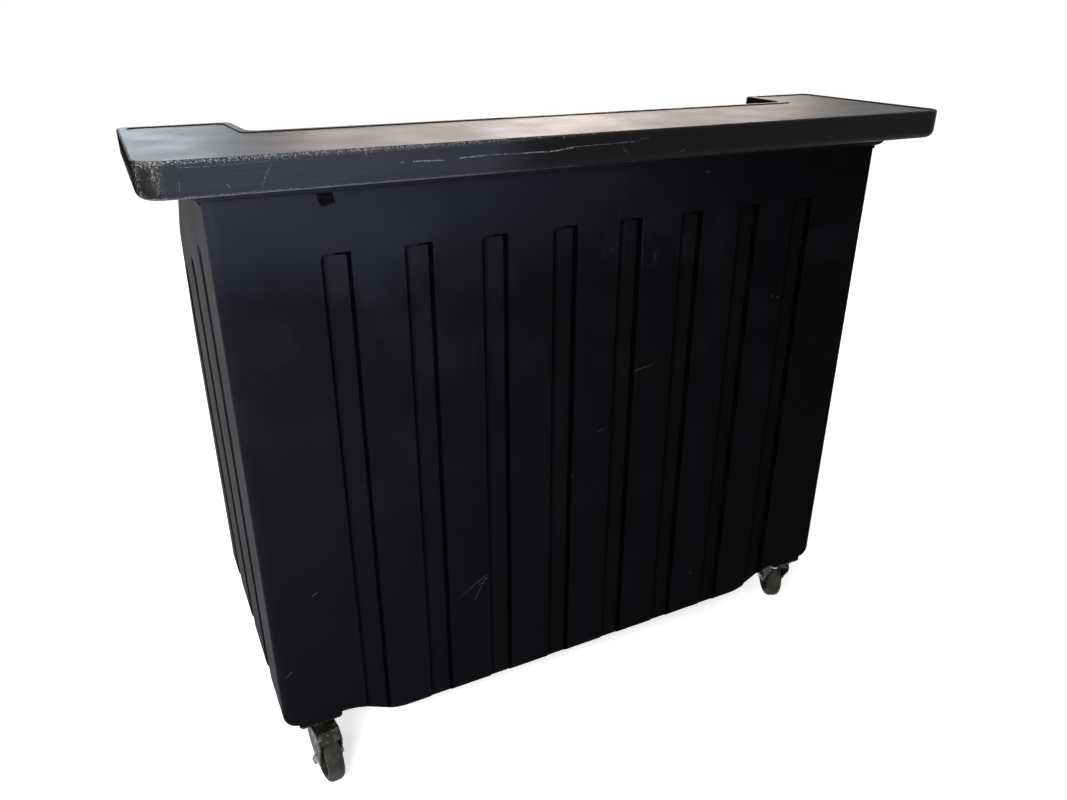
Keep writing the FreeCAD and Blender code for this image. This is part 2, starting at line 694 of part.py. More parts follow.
add_curve(cove_profile, (-half_body, body_top), [
    ((cove_out - s.cove_radius, body_top), None, 0),
    ((cove_out, body_top - s.cove_radius), s.cove_radius, 1),
    ((cove_out, body_top - s.cove_height), None, 0),
    ((-half_body, body_top - s.cove_height), None, 0),
    ((-half_body, body_top), None, 0),
])
cove = countertop.newObject("PartDesign::AdditivePipe", "cove")
cove.Profile = cove_profile
cove.Spine = (cove_path, [])
doc.recompute()

panel_outline = new_sketch(countertop, "panel_outline", "XY_Plane", counter_top)
panel_x = half_length - s.rim_width
add_outline(panel_outline, [
    (-panel_x, counter_front + s.front_rim_width), (panel_x, counter_front + s.front_rim_width),
    (panel_x, wing_rear - s.rim_width), (notch_outer + s.rim_width, wing_rear - s.rim_width),
    (notch_inner + s.rim_width, bar_rear - s.rim_width),
    (-notch_inner - s.rim_width, bar_rear - s.rim_width),
    (-notch_outer - s.rim_width, wing_rear - s.rim_width), (-panel_x, wing_rear - s.rim_width),
])
pocket(countertop, "sunk_panel", panel_outline, s.rim_height)


def is_panel_corner(edge):
    return along(edge, "z") and near(edge.BoundBox.ZLength, s.rim_height)


round_edges(countertop, "panel_corners", s.rim_width, is_panel_corner)


def is_top_rim(edge):
    """The outer edge all round the top, outside the sunk panel."""
    box_ = edge.BoundBox
    if not lies_at(edge, z=counter_top):
        return False
    at_end = max(abs(box_.XMin), abs(box_.XMax)) > half_length.value - NEAR
    at_front = near(box_.YMin, counter_front)
    at_rear = near(box_.YMax, wing_rear)
    in_notch = box_.YMin > bar_rear.value - NEAR and \
        max(abs(box_.XMin), abs(box_.XMax)) < notch_outer.value + NEAR
    return at_end or at_front or at_rear or in_notch


round_edges(countertop, "top_edges", s.counter_edge_radius, is_top_rim)

grip_outline = new_sketch(countertop, "grip_outline", "YZ_Plane", half_length)
add_outline(grip_outline, rectangle(
    counter_front + s.grip_start, wing_rear - s.grip_end_margin,
    body_top + s.grip_rise, body_top + s.grip_rise + s.grip_height))
for step in range(int(s.finger_count.value)):
    finger = counter_front + s.finger_start + s.finger_spacing * step
    add_outline(grip_outline, rectangle(
        finger, finger + s.finger_width, body_top + s.grip_rise,
        body_top + s.grip_rise + s.grip_height))
right_grip = pocket(countertop, "right_grip", grip_outline, s.grip_depth)
mirror(countertop, "left_grip", [right_grip])

counter_screw_places = [(x, inner_front + s.angle_hole_reach) for x in angle_spots] + [
    ((half_inside - s.angle_hole_reach) * side, y) for side in (-1, 1) for y in side_spots]
pierce(countertop, "counter_screw_holes", "XY_Plane", body_top, counter_screw_places,
       s.screw_radius, angle_screw_depth, reversed_way=True)

# Work deck: a flat moulding that drops onto the ledges, with a hole for the ice bin and one
# for each bottle well
work_deck = doc.addObject("PartDesign::Body", "work_deck")
deck_half = half_inside - s.deck_gap
deck_front = inner_front + s.deck_gap
bin_outer_x = s.bin_length / 2 + s.bin_wall
bin_outer_y = s.bin_width / 2 + s.bin_wall
bin_middle = deck_rear - s.bin_rear_margin - bin_outer_y
well_outer_x = s.bottle_cell / 2 + s.well_wall
well_run = s.bottle_cell * s.bottle_count + s.partition_thickness * (s.bottle_count - 1)
well_outer_y = well_run / 2 + s.well_wall
well_middle_x = deck_half - s.well_side_margin - well_outer_x
well_middle_y = (deck_front + deck_rear) / 2
deck_outline = new_sketch(work_deck, "deck_outline", "XY_Plane", deck_bottom)
add_outline(deck_outline, rectangle(-deck_half, deck_half, deck_front, deck_rear))
pad(work_deck, "deck_slab", deck_outline, s.deck_thickness)
hole_outline = new_sketch(work_deck, "hole_outline", "XY_Plane", deck_top)
add_outline(hole_outline, rectangle(
    -bin_outer_x - s.drop_in_gap, bin_outer_x + s.drop_in_gap,
    bin_middle - bin_outer_y - s.drop_in_gap, bin_middle + bin_outer_y + s.drop_in_gap))
for side in (1, -1):
    add_outline(hole_outline, [
        (well_middle_x * side + (well_outer_x + s.drop_in_gap) * u,
         well_middle_y + (well_outer_y + s.drop_in_gap) * v)
        for u, v in ((-1, -1), (1, -1), (1, 1), (-1, 1))])
pocket(work_deck, "deck_holes", hole_outline)
round_edges(work_deck, "bin_hole_corners", s.bin_corner_radius + s.drop_in_gap,
            upright_corner(bin_outer_x + s.drop_in_gap, bin_middle - bin_outer_y - s.drop_in_gap))
round_edges(work_deck, "bin_hole_rear_corners", s.bin_corner_radius + s.drop_in_gap,
            upright_corner(bin_outer_x + s.drop_in_gap, bin_middle + bin_outer_y + s.drop_in_gap))
round_edges(work_deck, "well_hole_corners", s.well_corner_radius + s.drop_in_gap,
            lambda edge: along(edge, "z")
            and near(abs(abs(edge.BoundBox.Center.x) - well_middle_x.value),
                     well_outer_x + s.drop_in_gap)
            and near(abs(edge.BoundBox.Center.y - well_middle_y.value),
                     well_outer_y + s.drop_in_gap))
pierce(work_deck, "deck_screw_holes", "XY_Plane", deck_top, deck_screw_places, s.screw_radius)
round_edges(work_deck, "deck_nosing", s.deck_edge_radius,
            lambda edge: along(edge, "x") and lies_at(edge, y=deck_rear))

# Ice bin: an insulated tub that hangs in the deck by its flange, with a drain hole
ice_bin = doc.addObject("PartDesign::Body", "ice_bin")
bin_bottom = deck_top - s.bin_depth - s.bin_wall
flange_x = bin_outer_x + s.flange_width
flange_y = bin_outer_y + s.flange_width
bin_top = deck_top + s.flange_thickness
tub_outline = new_sketch(ice_bin, "tub_outline", "XY_Plane", bin_bottom)
add_outline(tub_outline, rectangle(
    -bin_outer_x, bin_outer_x, bin_middle - bin_outer_y, bin_middle + bin_outer_y))
pad(ice_bin, "tub_block", tub_outline, bin_top - bin_bottom)
round_edges(ice_bin, "tub_corners", s.bin_corner_radius, lambda edge: along(edge, "z"))
flange_outline = new_sketch(ice_bin, "flange_outline", "XY_Plane", deck_top)
add_outline(flange_outline, rectangle(
    -flange_x, flange_x, bin_middle - flange_y, bin_middle + flange_y))
pad(ice_bin, "tub_flange", flange_outline, s.flange_thickness)
round_edges(ice_bin, "flange_corners", s.bin_corner_radius,
            lambda edge: along(edge, "z") and near(edge.BoundBox.ZLength, s.flange_thickness))
ice_outline = new_sketch(ice_bin, "ice_outline", "XY_Plane", bin_top)
add_outline(ice_outline, rectangle(
    -s.bin_length / 2, s.bin_length / 2,
    bin_middle - s.bin_width / 2, bin_middle + s.bin_width / 2))
pocket(ice_bin, "ice_hollow", ice_outline, s.bin_depth + s.flange_thickness)
round_edges(ice_bin, "ice_corners", s.bin_corner_radius - s.bin_wall / 2,
            lambda edge: along(edge, "z") and near(abs(edge.BoundBox.Center.x), s.bin_length / 2)
            and near(abs(edge.BoundBox.Center.y - bin_middle.value), s.bin_width / 2))
ice_floor = deck_top - s.bin_depth
round_edges(ice_bin, "ice_floor_corners", s.bin_floor_radius,
            lambda edge: lies_at(edge, z=ice_floor))
drain_hole = new_sketch(ice_bin, "drain_hole", "XY_Plane", ice_floor)
add_circle(drain_hole, 0, bin_middle, s.drain_tail_radius)
pocket(ice_bin, "drain_opening", drain_hole)

# Cover of the ice bin: a lift-off lid with a plug that drops into the mouth and a sunk grip
ice_bin_cover = doc.addObject("PartDesign::Body", "ice_bin_cover")
cover_bottom = bin_top + s.rest_gap
cover_outline = new_sketch(ice_bin_cover, "cover_outline", "XY_Plane", cover_bottom)
add_outline(cover_outline, rectangle(
    -flange_x, flange_x, bin_middle - flange_y, bin_middle + flange_y))
pad(ice_bin_cover, "cover_slab", cover_outline, s.cover_thickness)
round_edges(ice_bin_cover, "cover_corners", s.bin_corner_radius, lambda edge: along(edge, "z"))
round_edges(ice_bin_cover, "cover_edges", s.cover_edge_radius,
            lambda edge: lies_at(edge, z=cover_bottom + s.cover_thickness))
plug_outline = new_sketch(ice_bin_cover, "plug_outline", "XY_Plane", cover_bottom)
add_outline(plug_outline, rectangle(
    -s.bin_length / 2 + s.cover_gap, s.bin_length / 2 - s.cover_gap,
    bin_middle - s.bin_width / 2 + s.cover_gap, bin_middle + s.bin_width / 2 - s.cover_gap))
pad(ice_bin_cover, "cover_plug", plug_outline, s.cover_plug_depth, reversed_way=True)
round_edges(ice_bin_cover, "plug_corners", s.bin_corner_radius - s.bin_wall / 2,
            lambda edge: along(edge, "z") and edge.BoundBox.ZMax < cover_bottom.value + NEAR)
grip_hole = new_sketch(ice_bin_cover, "grip_hole", "XY_Plane", cover_bottom + s.cover_thickness)
add_outline(grip_hole, rectangle(
    -s.cover_grip_length / 2, s.cover_grip_length / 2,
    bin_middle - s.cover_grip_width / 2, bin_middle + s.cover_grip_width / 2))
pocket(ice_bin_cover, "cover_grip", grip_hole, s.cover_grip_depth)
round_edges(ice_bin_cover, "cover_grip_corners", s.cover_grip_rounding,
            lambda edge: along(edge, "z") and near(edge.BoundBox.ZLength, s.cover_grip_depth))

# Bottle wells: one lift-out tray on each side of the bin, five bottles in a row
well_top = deck_top + s.well_flange_thickness
well_floor = deck_top - s.well_depth
for side_name, side in (("left", -1), ("right", 1)):
    well = doc.addObject("PartDesign::Body", side_name + "_bottle_well")
    middle_x = well_middle_x * side

    def well_rectangle(half_x, half_y):
        return [(middle_x + half_x * u, well_middle_y + half_y * v)
                for u, v in ((-1, -1), (1, -1), (1, 1), (-1, 1))]

    tray = new_sketch(well, side_name + "_tray_outline", "XY_Plane", well_floor - s.well_wall)
    add_outline(tray, well_rectangle(well_outer_x, well_outer_y))
    pad(well, side_name + "_tray", tray, well_top - well_floor + s.well_wall)
    round_edges(well, side_name + "_tray_corners", s.well_corner_radius,
                lambda edge: along(edge, "z"))
    lip = new_sketch(well, side_name + "_lip_outline", "XY_Plane", deck_top + s.rest_gap)
    add_outline(lip, well_rectangle(well_outer_x + s.well_flange_width,
                                    well_outer_y + s.well_flange_width))
    pad(well, side_name + "_lip", lip, s.well_flange_thickness - s.rest_gap)
    round_edges(well, side_name + "_lip_corners", s.well_corner_radius,
                lambda edge: along(edge, "z")
                and near(edge.BoundBox.ZLength, s.well_flange_thickness - s.rest_gap))
    hollow = new_sketch(well, side_name + "_hollow_outline", "XY_Plane", well_top)
    add_rounded_rectangle(hollow, middle_x - s.bottle_cell / 2, middle_x + s.bottle_cell / 2,
                          well_middle_y - well_run / 2, well_middle_y + well_run / 2,
                          s.well_corner_radius - s.well_wall)
    pocket(well, side_name + "_hollow", hollow, s.well_depth + s.well_flange_thickness)
    divider = new_sketch(well, side_name + "_divider_outline", "XY_Plane", well_floor)
    first_divider = well_middle_y - well_run / 2 + s.bottle_cell
    add_outline(divider, [
        (middle_x - s.bottle_cell / 2, first_divider),
        (middle_x + s.bottle_cell / 2, first_divider),
        (middle_x + s.bottle_cell / 2, first_divider + s.partition_thickness),
        (middle_x - s.bottle_cell / 2, first_divider + s.partition_thickness),
    ])
    first = pad(well, side_name + "_divider", divider, s.partition_height)
    repeat(well, side_name + "_dividers", first, (divider, ["V_Axis"]),
           s.bottle_cell + s.partition_thickness, s.bottle_count - 1)

# Drain of the ice bin: a flanged tail through the floor, a rubber gasket and a nut below it
tail_bottom = bin_bottom - s.drain_tail_drop
tail_height = ice_floor - tail_bottom
drain_flange = cut(
    "drain_flange",
    fuse("drain_flange_solid",
         cylinder("drain_flange_disc", s.drain_flange_radius, s.drain_flange_thickness,
                  0, bin_middle, ice_floor),
         cylinder("drain_flange_tail", s.drain_tail_radius, tail_height,
                  0, bin_middle, tail_bottom)),
    cylinder("drain_flange_bore", s.drain_bore / 2, tail_height + s.drain_flange_thickness,
             0, bin_middle, tail_bottom),
    cone("drain_flange_dish", s.drain_bore / 2, s.drain_flange_radius - s.drain_flange_thickness,
         s.drain_flange_thickness, 0, bin_middle, ice_floor))
gasket_bottom = bin_bottom - s.gasket_thickness
drain_gasket = cut(
    "drain_gasket",
    cylinder("drain_gasket_disc", s.drain_nut_radius, s.gasket_thickness,
             0, bin_middle, gasket_bottom),
    cylinder("drain_gasket_hole", s.drain_tail_radius, s.gasket_thickness,
             0, bin_middle, gasket_bottom))
nut_bottom = gasket_bottom - s.drain_nut_height
drain_nut = cut(
    "drain_nut",
    hexagon("drain_nut_block", s.drain_nut_radius, s.drain_nut_height, 0, bin_middle, nut_bottom),
    cylinder("drain_nut_thread", s.drain_tail_radius, s.drain_nut_height,
             0, bin_middle, nut_bottom))

# Drain valve on the end of the tail: a bored ball closes it, turned by a lever on the ball's
# stem, which comes out through the rear neck
valve_top = tail_bottom + s.valve_socket_depth
valve_bottom = valve_top - s.valve_height
valve_axis = valve_bottom + (s.valve_height - s.valve_collar_height) / 2
neck_end = bin_middle + s.valve_radius + s.valve_neck_length
drain_valve = cut(
    "drain_valve",
    fuse("drain_valve_solid",
         cylinder("valve_barrel", s.valve_radius, s.valve_height, 0, bin_middle, valve_bottom),
         hexagon("valve_collar", s.valve_collar_radius, s.valve_collar_height,
                 0, bin_middle, valve_top - s.valve_collar_height),
         cylinder("valve_neck", s.valve_neck_radius, s.valve_radius + s.valve_neck_length,
                  0, bin_middle, valve_axis, "y"),
         cylinder("valve_nipple", s.nipple_radius, s.nipple_drop,
                  0, bin_middle, valve_bottom - s.nipple_drop),
         *[cone("valve_barb_%d" % (index + 1), s.nipple_radius, s.barb_radius, s.barb_height,
                0, bin_middle, valve_bottom - s.nipple_drop + s.barb_spacing * index)
           for index in range(int(s.barb_count.value))]),
    cylinder("valve_socket", s.drain_tail_radius, s.valve_socket_depth,
             0, bin_middle, tail_bottom),
    cylinder("valve_bore", s.nipple_bore_radius, s.valve_height + s.nipple_drop,
             0, bin_middle, valve_bottom - s.nipple_drop),
    cylinder("valve_stem_hole", s.stem_radius + s.stem_gap, neck_end - bin_middle,
             0, bin_middle, valve_axis, "y"),
    sphere("valve_seat", s.ball_radius + s.ball_gap, 0, bin_middle, valve_axis))
lever_face = neck_end + s.lever_gap
valve_ball = cut(
    "valve_ball",
    fuse("valve_ball_solid",
         sphere("valve_ball_round", s.ball_radius, 0, bin_middle, valve_axis),
         cylinder("valve_stem", s.stem_radius, lever_face + s.lever_thickness - bin_middle,
                  0, bin_middle, valve_axis, "y")),
    cylinder("valve_ball_bore", s.nipple_bore_radius, s.ball_radius * 2,
             -s.ball_radius, bin_middle, valve_axis, "x"))
drain_lever = doc.addObject("PartDesign::Body", "drain_lever")
lever_outline = new_sketch(drain_lever, "lever_outline", "XZ_Plane", -lever_face)
lever_half = s.lever_width / 2
add_curve(lever_outline, (0, valve_axis - lever_half), [
    ((s.lever_length - lever_half, valve_axis - lever_half), None, 0),
    ((s.lever_length, valve_axis), lever_half, 1),
    ((s.lever_length - lever_half, valve_axis + lever_half), lever_half, 1),
    ((0, valve_axis + lever_half), None, 0),
    ((-lever_half, valve_axis), lever_half, 1),
    ((0, valve_axis - lever_half), lever_half, 1),
])
pad(drain_lever, "lever_bar", lever_outline, s.lever_thickness, reversed_way=True)
lever_eye = new_sketch(drain_lever, "lever_eye_outline", "XZ_Plane", -lever_face)
add_circle(lever_eye, 0, valve_axis, s.stem_radius)
pocket(drain_lever, "lever_eye", lever_eye)

# Cabinet shelf: a loose board on four pins in the side walls
shelf = doc.addObject("PartDesign::Body", "shelf")
shelf_half = half_inside - s.shelf_gap
shelf_outline = new_sketch(shelf, "shelf_outline", "XY_Plane", s.shelf_level)
add_outline(shelf_outline, rectangle(-shelf_half, shelf_half, shelf_front, shelf_rear))
pad(shelf, "shelf_board", shelf_outline, s.shelf_thickness)
round_edges(shelf, "shelf_nosing", s.shelf_edge_radius,
            lambda edge: along(edge, "x") and near(edge.BoundBox.ZMax, s.shelf_level
                                                   + s.shelf_thickness))
shelf_clips = group("shelf_clips", [
    cylinder("shelf_clip_%d" % number_, s.clip_radius, s.clip_length,
             (half_inside + s.clip_in_wall) * side, y, clip_level, "x" if side < 0 else "-x")
    for number_, (side, y) in enumerate([(side, y) for side in (-1, 1) for y in clip_places], 1)])


def screw(name, length, x, y, z, way):
    """A pan-head screw seated at a point, its shank pointing one way."""
    back = way[1:] if way.startswith("-") else "-" + way
    return fuse(name,
                cylinder(name + "_shank", s.screw_radius, length, x, y, z, way),
                cone(name + "_head", s.screw_head_radius, s.screw_crown_radius,
                     s.screw_head_height, x, y, z, back))


# Steel angles under the counter, and the screws that hold it and the deck
def steel_angle(name, x, y, turn):
    body = doc.addObject("PartDesign::Body", name)
    bend = s.angle_bend_radius
    outline = new_sketch(body, name + "_outline", "YZ_Plane")
    add_curve(outline, (0, -s.angle_leg), [
        ((0, -bend), None, 0),
        ((bend, 0), bend, -1),
        ((s.angle_leg, 0), None, 0),
        ((s.angle_leg, -s.angle_sheet), None, 0),
        ((bend, -s.angle_sheet), None, 0),
        ((s.angle_sheet, -bend), bend - s.angle_sheet, 1),
        ((s.angle_sheet, -s.angle_leg), None, 0),
        ((0, -s.angle_leg), None, 0),
    ])
    pad(body, name + "_strip", outline, s.angle_width, symmetric=True)
    pierce(body, name + "_wall_holes", "XZ_Plane", 0,
           [(s.angle_hole_spread * u, -s.angle_hole_reach) for u in (-1, 1)], s.screw_radius)
    pierce(body, name + "_counter_holes", "XY_Plane", 0,
           [(s.angle_hole_spread * u, s.angle_hole_reach) for u in (-1, 1)], s.screw_radius)
    return place(body, x, y, body_top, Rotation(Vector(0, 0, 1), turn))


counter_angles = group("counter_angles", [
    steel_angle("front_left_angle", -angle_front, inner_front, 0),
    steel_angle("front_right_angle", angle_front, inner_front, 0),
    steel_angle("left_angle", -half_inside, angle_side, -90),
    steel_angle("right_angle", half_inside, angle_side, 90),
])
wall_seats = [(x, inner_front + s.angle_sheet, "-y") for x in angle_spots] + [
    ((half_inside - s.angle_sheet) * side, y, "-x" if side < 0 else "x")
    for side in (-1, 1) for y in side_spots]
angle_screws = group("angle_screws", [
    screw("wall_screw_%d" % number_, s.screw_length, x, y, angle_hole_level, way)
    for number_, (x, y, way) in enumerate(wall_seats, 1)
] + [
    screw("counter_screw_%d" % number_, s.screw_length, x, y, body_top - s.angle_sheet, "z")
    for number_, (x, y) in enumerate(counter_screw_places, 1)])
deck_screws = group("deck_screws", [
    screw("deck_screw_%d" % number_, s.deck_screw_length, x, y, deck_top, "-z")
    for number_, (x, y) in enumerate(deck_screw_places, 1)])

# Caster fixings: threaded inserts moulded into the corner floors, and hexagon bolts
plate_bottom = foot_level - s.plate_sheet
caster_inserts = group("caster_inserts", [
    cut("insert_%d" % number_,
        cylinder("insert_%d_sleeve" % number_, s.insert_radius, s.insert_length,
                 x, y, foot_level),
        cylinder("insert_%d_bore" % number_, s.bolt_radius, s.insert_length, x, y, foot_level))
    for number_, (x, y) in enumerate(caster_bolt_places, 1)])
caster_bolts = group("caster_bolts", [
    fuse("caster_bolt_%d" % number_,
         cylinder("caster_bolt_%d_shank" % number_, s.bolt_radius, s.caster_bolt_length,
                  x, y, plate_bottom),
         hexagon("caster_bolt_%d_head" % number_, s.caster_bolt_head_radius,
                 s.caster_bolt_head_height, x, y, plate_bottom - s.caster_bolt_head_height))
    for number_, (x, y) in enumerate(caster_bolt_places, 1)])

# Casters: top plate with a raceway and a riveted king bolt; below it a ball ring, a pressed
# fork, and a wheel with a rubber tyre that turns on a bush. Each is drawn with its swivel pin on
# the origin and the wheel trailing towards +Y.
wheel_level = s.wheel_diameter / 2
raceway_level = plate_bottom - s.raceway_height
bearing_bottom = raceway_level - s.turn_gap - s.bearing_height
crown_bottom = bearing_bottom - s.fork_sheet
king_head_bottom = crown_bottom - s.turn_gap - s.king_head_height
fork_inner = s.tyre_width / 2 + s.fork_gap
fork_outer = fork_inner + s.fork_sheet
lip_level = bearing_bottom - s.fork_lip_drop
tyre_inner = wheel_level - s.tyre_thickness
pedal_pin_y = s.trail + s.pedal_pin_reach
pedal_pin_level = bearing_bottom - s.pedal_pin_drop
pedal_inner = fork_outer + s.pedal_gap
pedal_outer = pedal_inner + s.pedal_sheet
foot_plate_top = bearing_bottom - s.pedal_foot_drop
foot_plate_bottom = foot_plate_top - s.pedal_sheet


def caster_plate(name):
    body = doc.addObject("PartDesign::Body", name)
    outline = new_sketch(body, name + "_outline", "XY_Plane", plate_bottom)
    add_outline(outline, rectangle(-s.plate_length / 2, s.plate_length / 2,
                                   -s.plate_width / 2, s.plate_width / 2))
    pad(body, name + "_sheet", outline, s.plate_sheet)
    round_edges(body, name + "_corners", s.plate_corner_radius, lambda edge: along(edge, "z"))
    for part, radius, height in (("raceway", s.raceway_radius, s.raceway_height),
                                 ("skirt", s.raceway_radius,
                                  s.raceway_height + s.raceway_skirt_height)):
        disc = new_sketch(body, "%s_%s_outline" % (name, part), "XY_Plane", plate_bottom)
        add_circle(disc, 0, 0, radius)
        if part == "skirt":
            add_circle(disc, 0, 0, radius - s.raceway_skirt)
        pad(body, "%s_%s" % (name, part), disc, height, reversed_way=True)
    pierce(body, name + "_pin_hole", "XY_Plane", foot_level, [(0, 0)], s.king_radius)
    pierce(body, name + "_bolt_holes", "XY_Plane", foot_level,
           [(s.bolt_spread_x * u, s.bolt_spread_y * v) for u in (-1, 1) for v in (-1, 1)],
           s.bolt_radius)
    return body


def king_bolt(name):
    return fuse(name,
                cylinder(name + "_shank", s.king_radius, foot_level - crown_bottom + s.turn_gap,
                         0, 0, crown_bottom - s.turn_gap),
                cylinder(name + "_head", s.king_head_radius, s.king_head_height,
                         0, 0, king_head_bottom))


def swivel_bearing(name):
    return cut(name,
               cylinder(name + "_ring", s.bearing_radius, s.bearing_height, 0, 0, bearing_bottom),
               cylinder(name + "_hole", s.bearing_inner_radius, s.bearing_height,
                        0, 0, bearing_bottom))


def fork(name, has_brake):
    body = doc.addObject("PartDesign::Body", name)
    outline = new_sketch(body, name + "_outline", "YZ_Plane")
    add_outline(outline, [
        (-s.fork_back, bearing_bottom),
        (s.trail + s.fork_over, bearing_bottom),
        (s.trail + s.fork_lip_reach, lip_level),
        (s.trail + s.fork_eye_radius, wheel_level - s.fork_eye_radius),
        (s.trail - s.fork_eye_radius, wheel_level - s.fork_eye_radius),
        (-s.fork_back, bearing_bottom - s.fork_back_drop),
    ])
    pad(body, name + "_channel", outline, fork_outer * 2, symmetric=True)
    round_edges(body, name + "_eyes", s.fork_eye_rounding,
                lambda edge: along(edge, "x")
                and lies_at(edge, z=wheel_level - s.fork_eye_radius))
    inside = new_sketch(body, name + "_inside_outline", "YZ_Plane")
    past_lip = s.trail + s.fork_lip_reach + s.overrun
    past_back = -s.fork_back - s.overrun
    add_outline(inside, [
        (past_back, crown_bottom),
        (s.trail + s.fork_over - s.lip_top_inset, crown_bottom),
        (s.trail + s.fork_lip_reach - s.lip_end_inset, lip_level),
        (past_lip, lip_level),
        (past_lip, 0),
        (past_back, 0),
    ])
    pocket(body, name + "_inside", inside, fork_inner * 2, symmetric=True)
    crown = new_sketch(body, name + "_crown_outline", "XY_Plane", bearing_bottom)
    add_circle(crown, 0, 0, s.crown_radius)
    pad(body, name + "_crown", crown, s.fork_sheet, reversed_way=True)
    pierce(body, name + "_pin_hole", "XY_Plane", bearing_bottom, [(0, 0)],
           s.king_radius + s.king_gap)
    axle_hole = new_sketch(body, name + "_axle_outline", "YZ_Plane")
    add_circle(axle_hole, s.trail, wheel_level, s.axle_radius)
    if has_brake:
        add_circle(axle_hole, pedal_pin_y, pedal_pin_level, s.pedal_pin_radius)
    pocket(body, name + "_axle_holes", axle_hole, symmetric=True)
    return body


def axle(name):
    """A hexagon bolt through both legs with a nut on its end."""
    head_end = -fork_outer - s.bolt_head_height
    bolt = fuse(name + "_bolt",
                hexagon(name + "_head", s.bolt_head_radius, s.bolt_head_height,
                        head_end, s.trail, wheel_level, "x"),
                cylinder(name + "_shank", s.axle_radius,
                         fork_outer * 2 + s.nut_height + s.axle_end,
                         -fork_outer, s.trail, wheel_level, "x"))
    nut = cut(name + "_nut",
              hexagon(name + "_nut_block", s.bolt_head_radius, s.nut_height,
                      fork_outer, s.trail, wheel_level, "x"),
              cylinder(name + "_nut_thread", s.axle_radius, s.nut_height,
                       fork_outer, s.trail, wheel_level, "x"))
    return group(name, [bolt, nut])


def bush(name):
    return cut(name,
               cylinder(name + "_sleeve", s.bush_radius, fork_inner * 2,
                        -fork_inner, s.trail, wheel_level, "x"),
               cylinder(name + "_bore", s.axle_radius, fork_inner * 2,
                        -fork_inner, s.trail, wheel_level, "x"))


def wheel_profile(body, name):
    profile = new_sketch(body, name + "_profile", "XY_Plane", wheel_level)
    bind(profile, "AttachmentOffset.Base.y", s.trail)
    return profile


def wheel(name):
    body = doc.addObject("PartDesign::Body", name)
    hub_end = fork_inner - s.hub_gap
    half_web = s.web_thickness / 2
    half_rim = s.wheel_rim_width / 2
    rim_inner = tyre_inner - s.rim_sheet
    bore = s.bush_radius + s.axle_gap
    profile = wheel_profile(body, name)
    add_outline(profile, [
        (-hub_end, bore), (hub_end, bore), (hub_end, s.hub_radius),
        (half_web + s.hub_flare, s.hub_radius), (half_web, s.hub_radius + s.hub_flare),
        (half_web, rim_inner - s.hub_flare), (half_web + s.hub_flare, rim_inner),
        (half_rim, rim_inner), (half_rim, tyre_inner), (-half_rim, tyre_inner),
        (-half_rim, rim_inner), (-half_web - s.hub_flare, rim_inner),
        (-half_web, rim_inner - s.hub_flare), (-half_web, s.hub_radius + s.hub_flare),
        (-half_web - s.hub_flare, s.hub_radius), (-hub_end, s.hub_radius),
    ])
    spin(body, name + "_turned", profile)
    return body


def tyre(name):
    body = doc.addObject("PartDesign::Body", name)
    half_tyre = s.tyre_width / 2
    shoulder = wheel_level - s.tread_radius
    profile = wheel_profile(body, name)
    add_curve(profile, (-half_tyre, tyre_inner), [
        ((half_tyre, tyre_inner), None, 0),
        ((half_tyre, shoulder), None, 0),
        ((half_tyre - s.tread_radius, wheel_level), s.tread_radius, 1),
        ((-half_tyre + s.tread_radius, wheel_level), None, 0),
        ((-half_tyre, shoulder), s.tread_radius, 1),
        ((-half_tyre, tyre_inner), None, 0),
    ])
    spin(body, name + "_tread", profile)
    return body


def pedal_pin(name):
    return fuse(name,
                cylinder(name + "_shank", s.pedal_pin_radius, (pedal_outer + s.pedal_gap) * 2,
                         -pedal_outer - s.pedal_gap, pedal_pin_y, pedal_pin_level, "x"),
                cylinder(name + "_left_head", s.pedal_pin_head_radius, s.pedal_pin_end,
                         -pedal_outer - s.pedal_gap - s.pedal_pin_end,
                         pedal_pin_y, pedal_pin_level, "x"),
                cylinder(name + "_right_head", s.pedal_pin_head_radius, s.pedal_pin_end,
                         pedal_outer + s.pedal_gap, pedal_pin_y, pedal_pin_level, "x"))


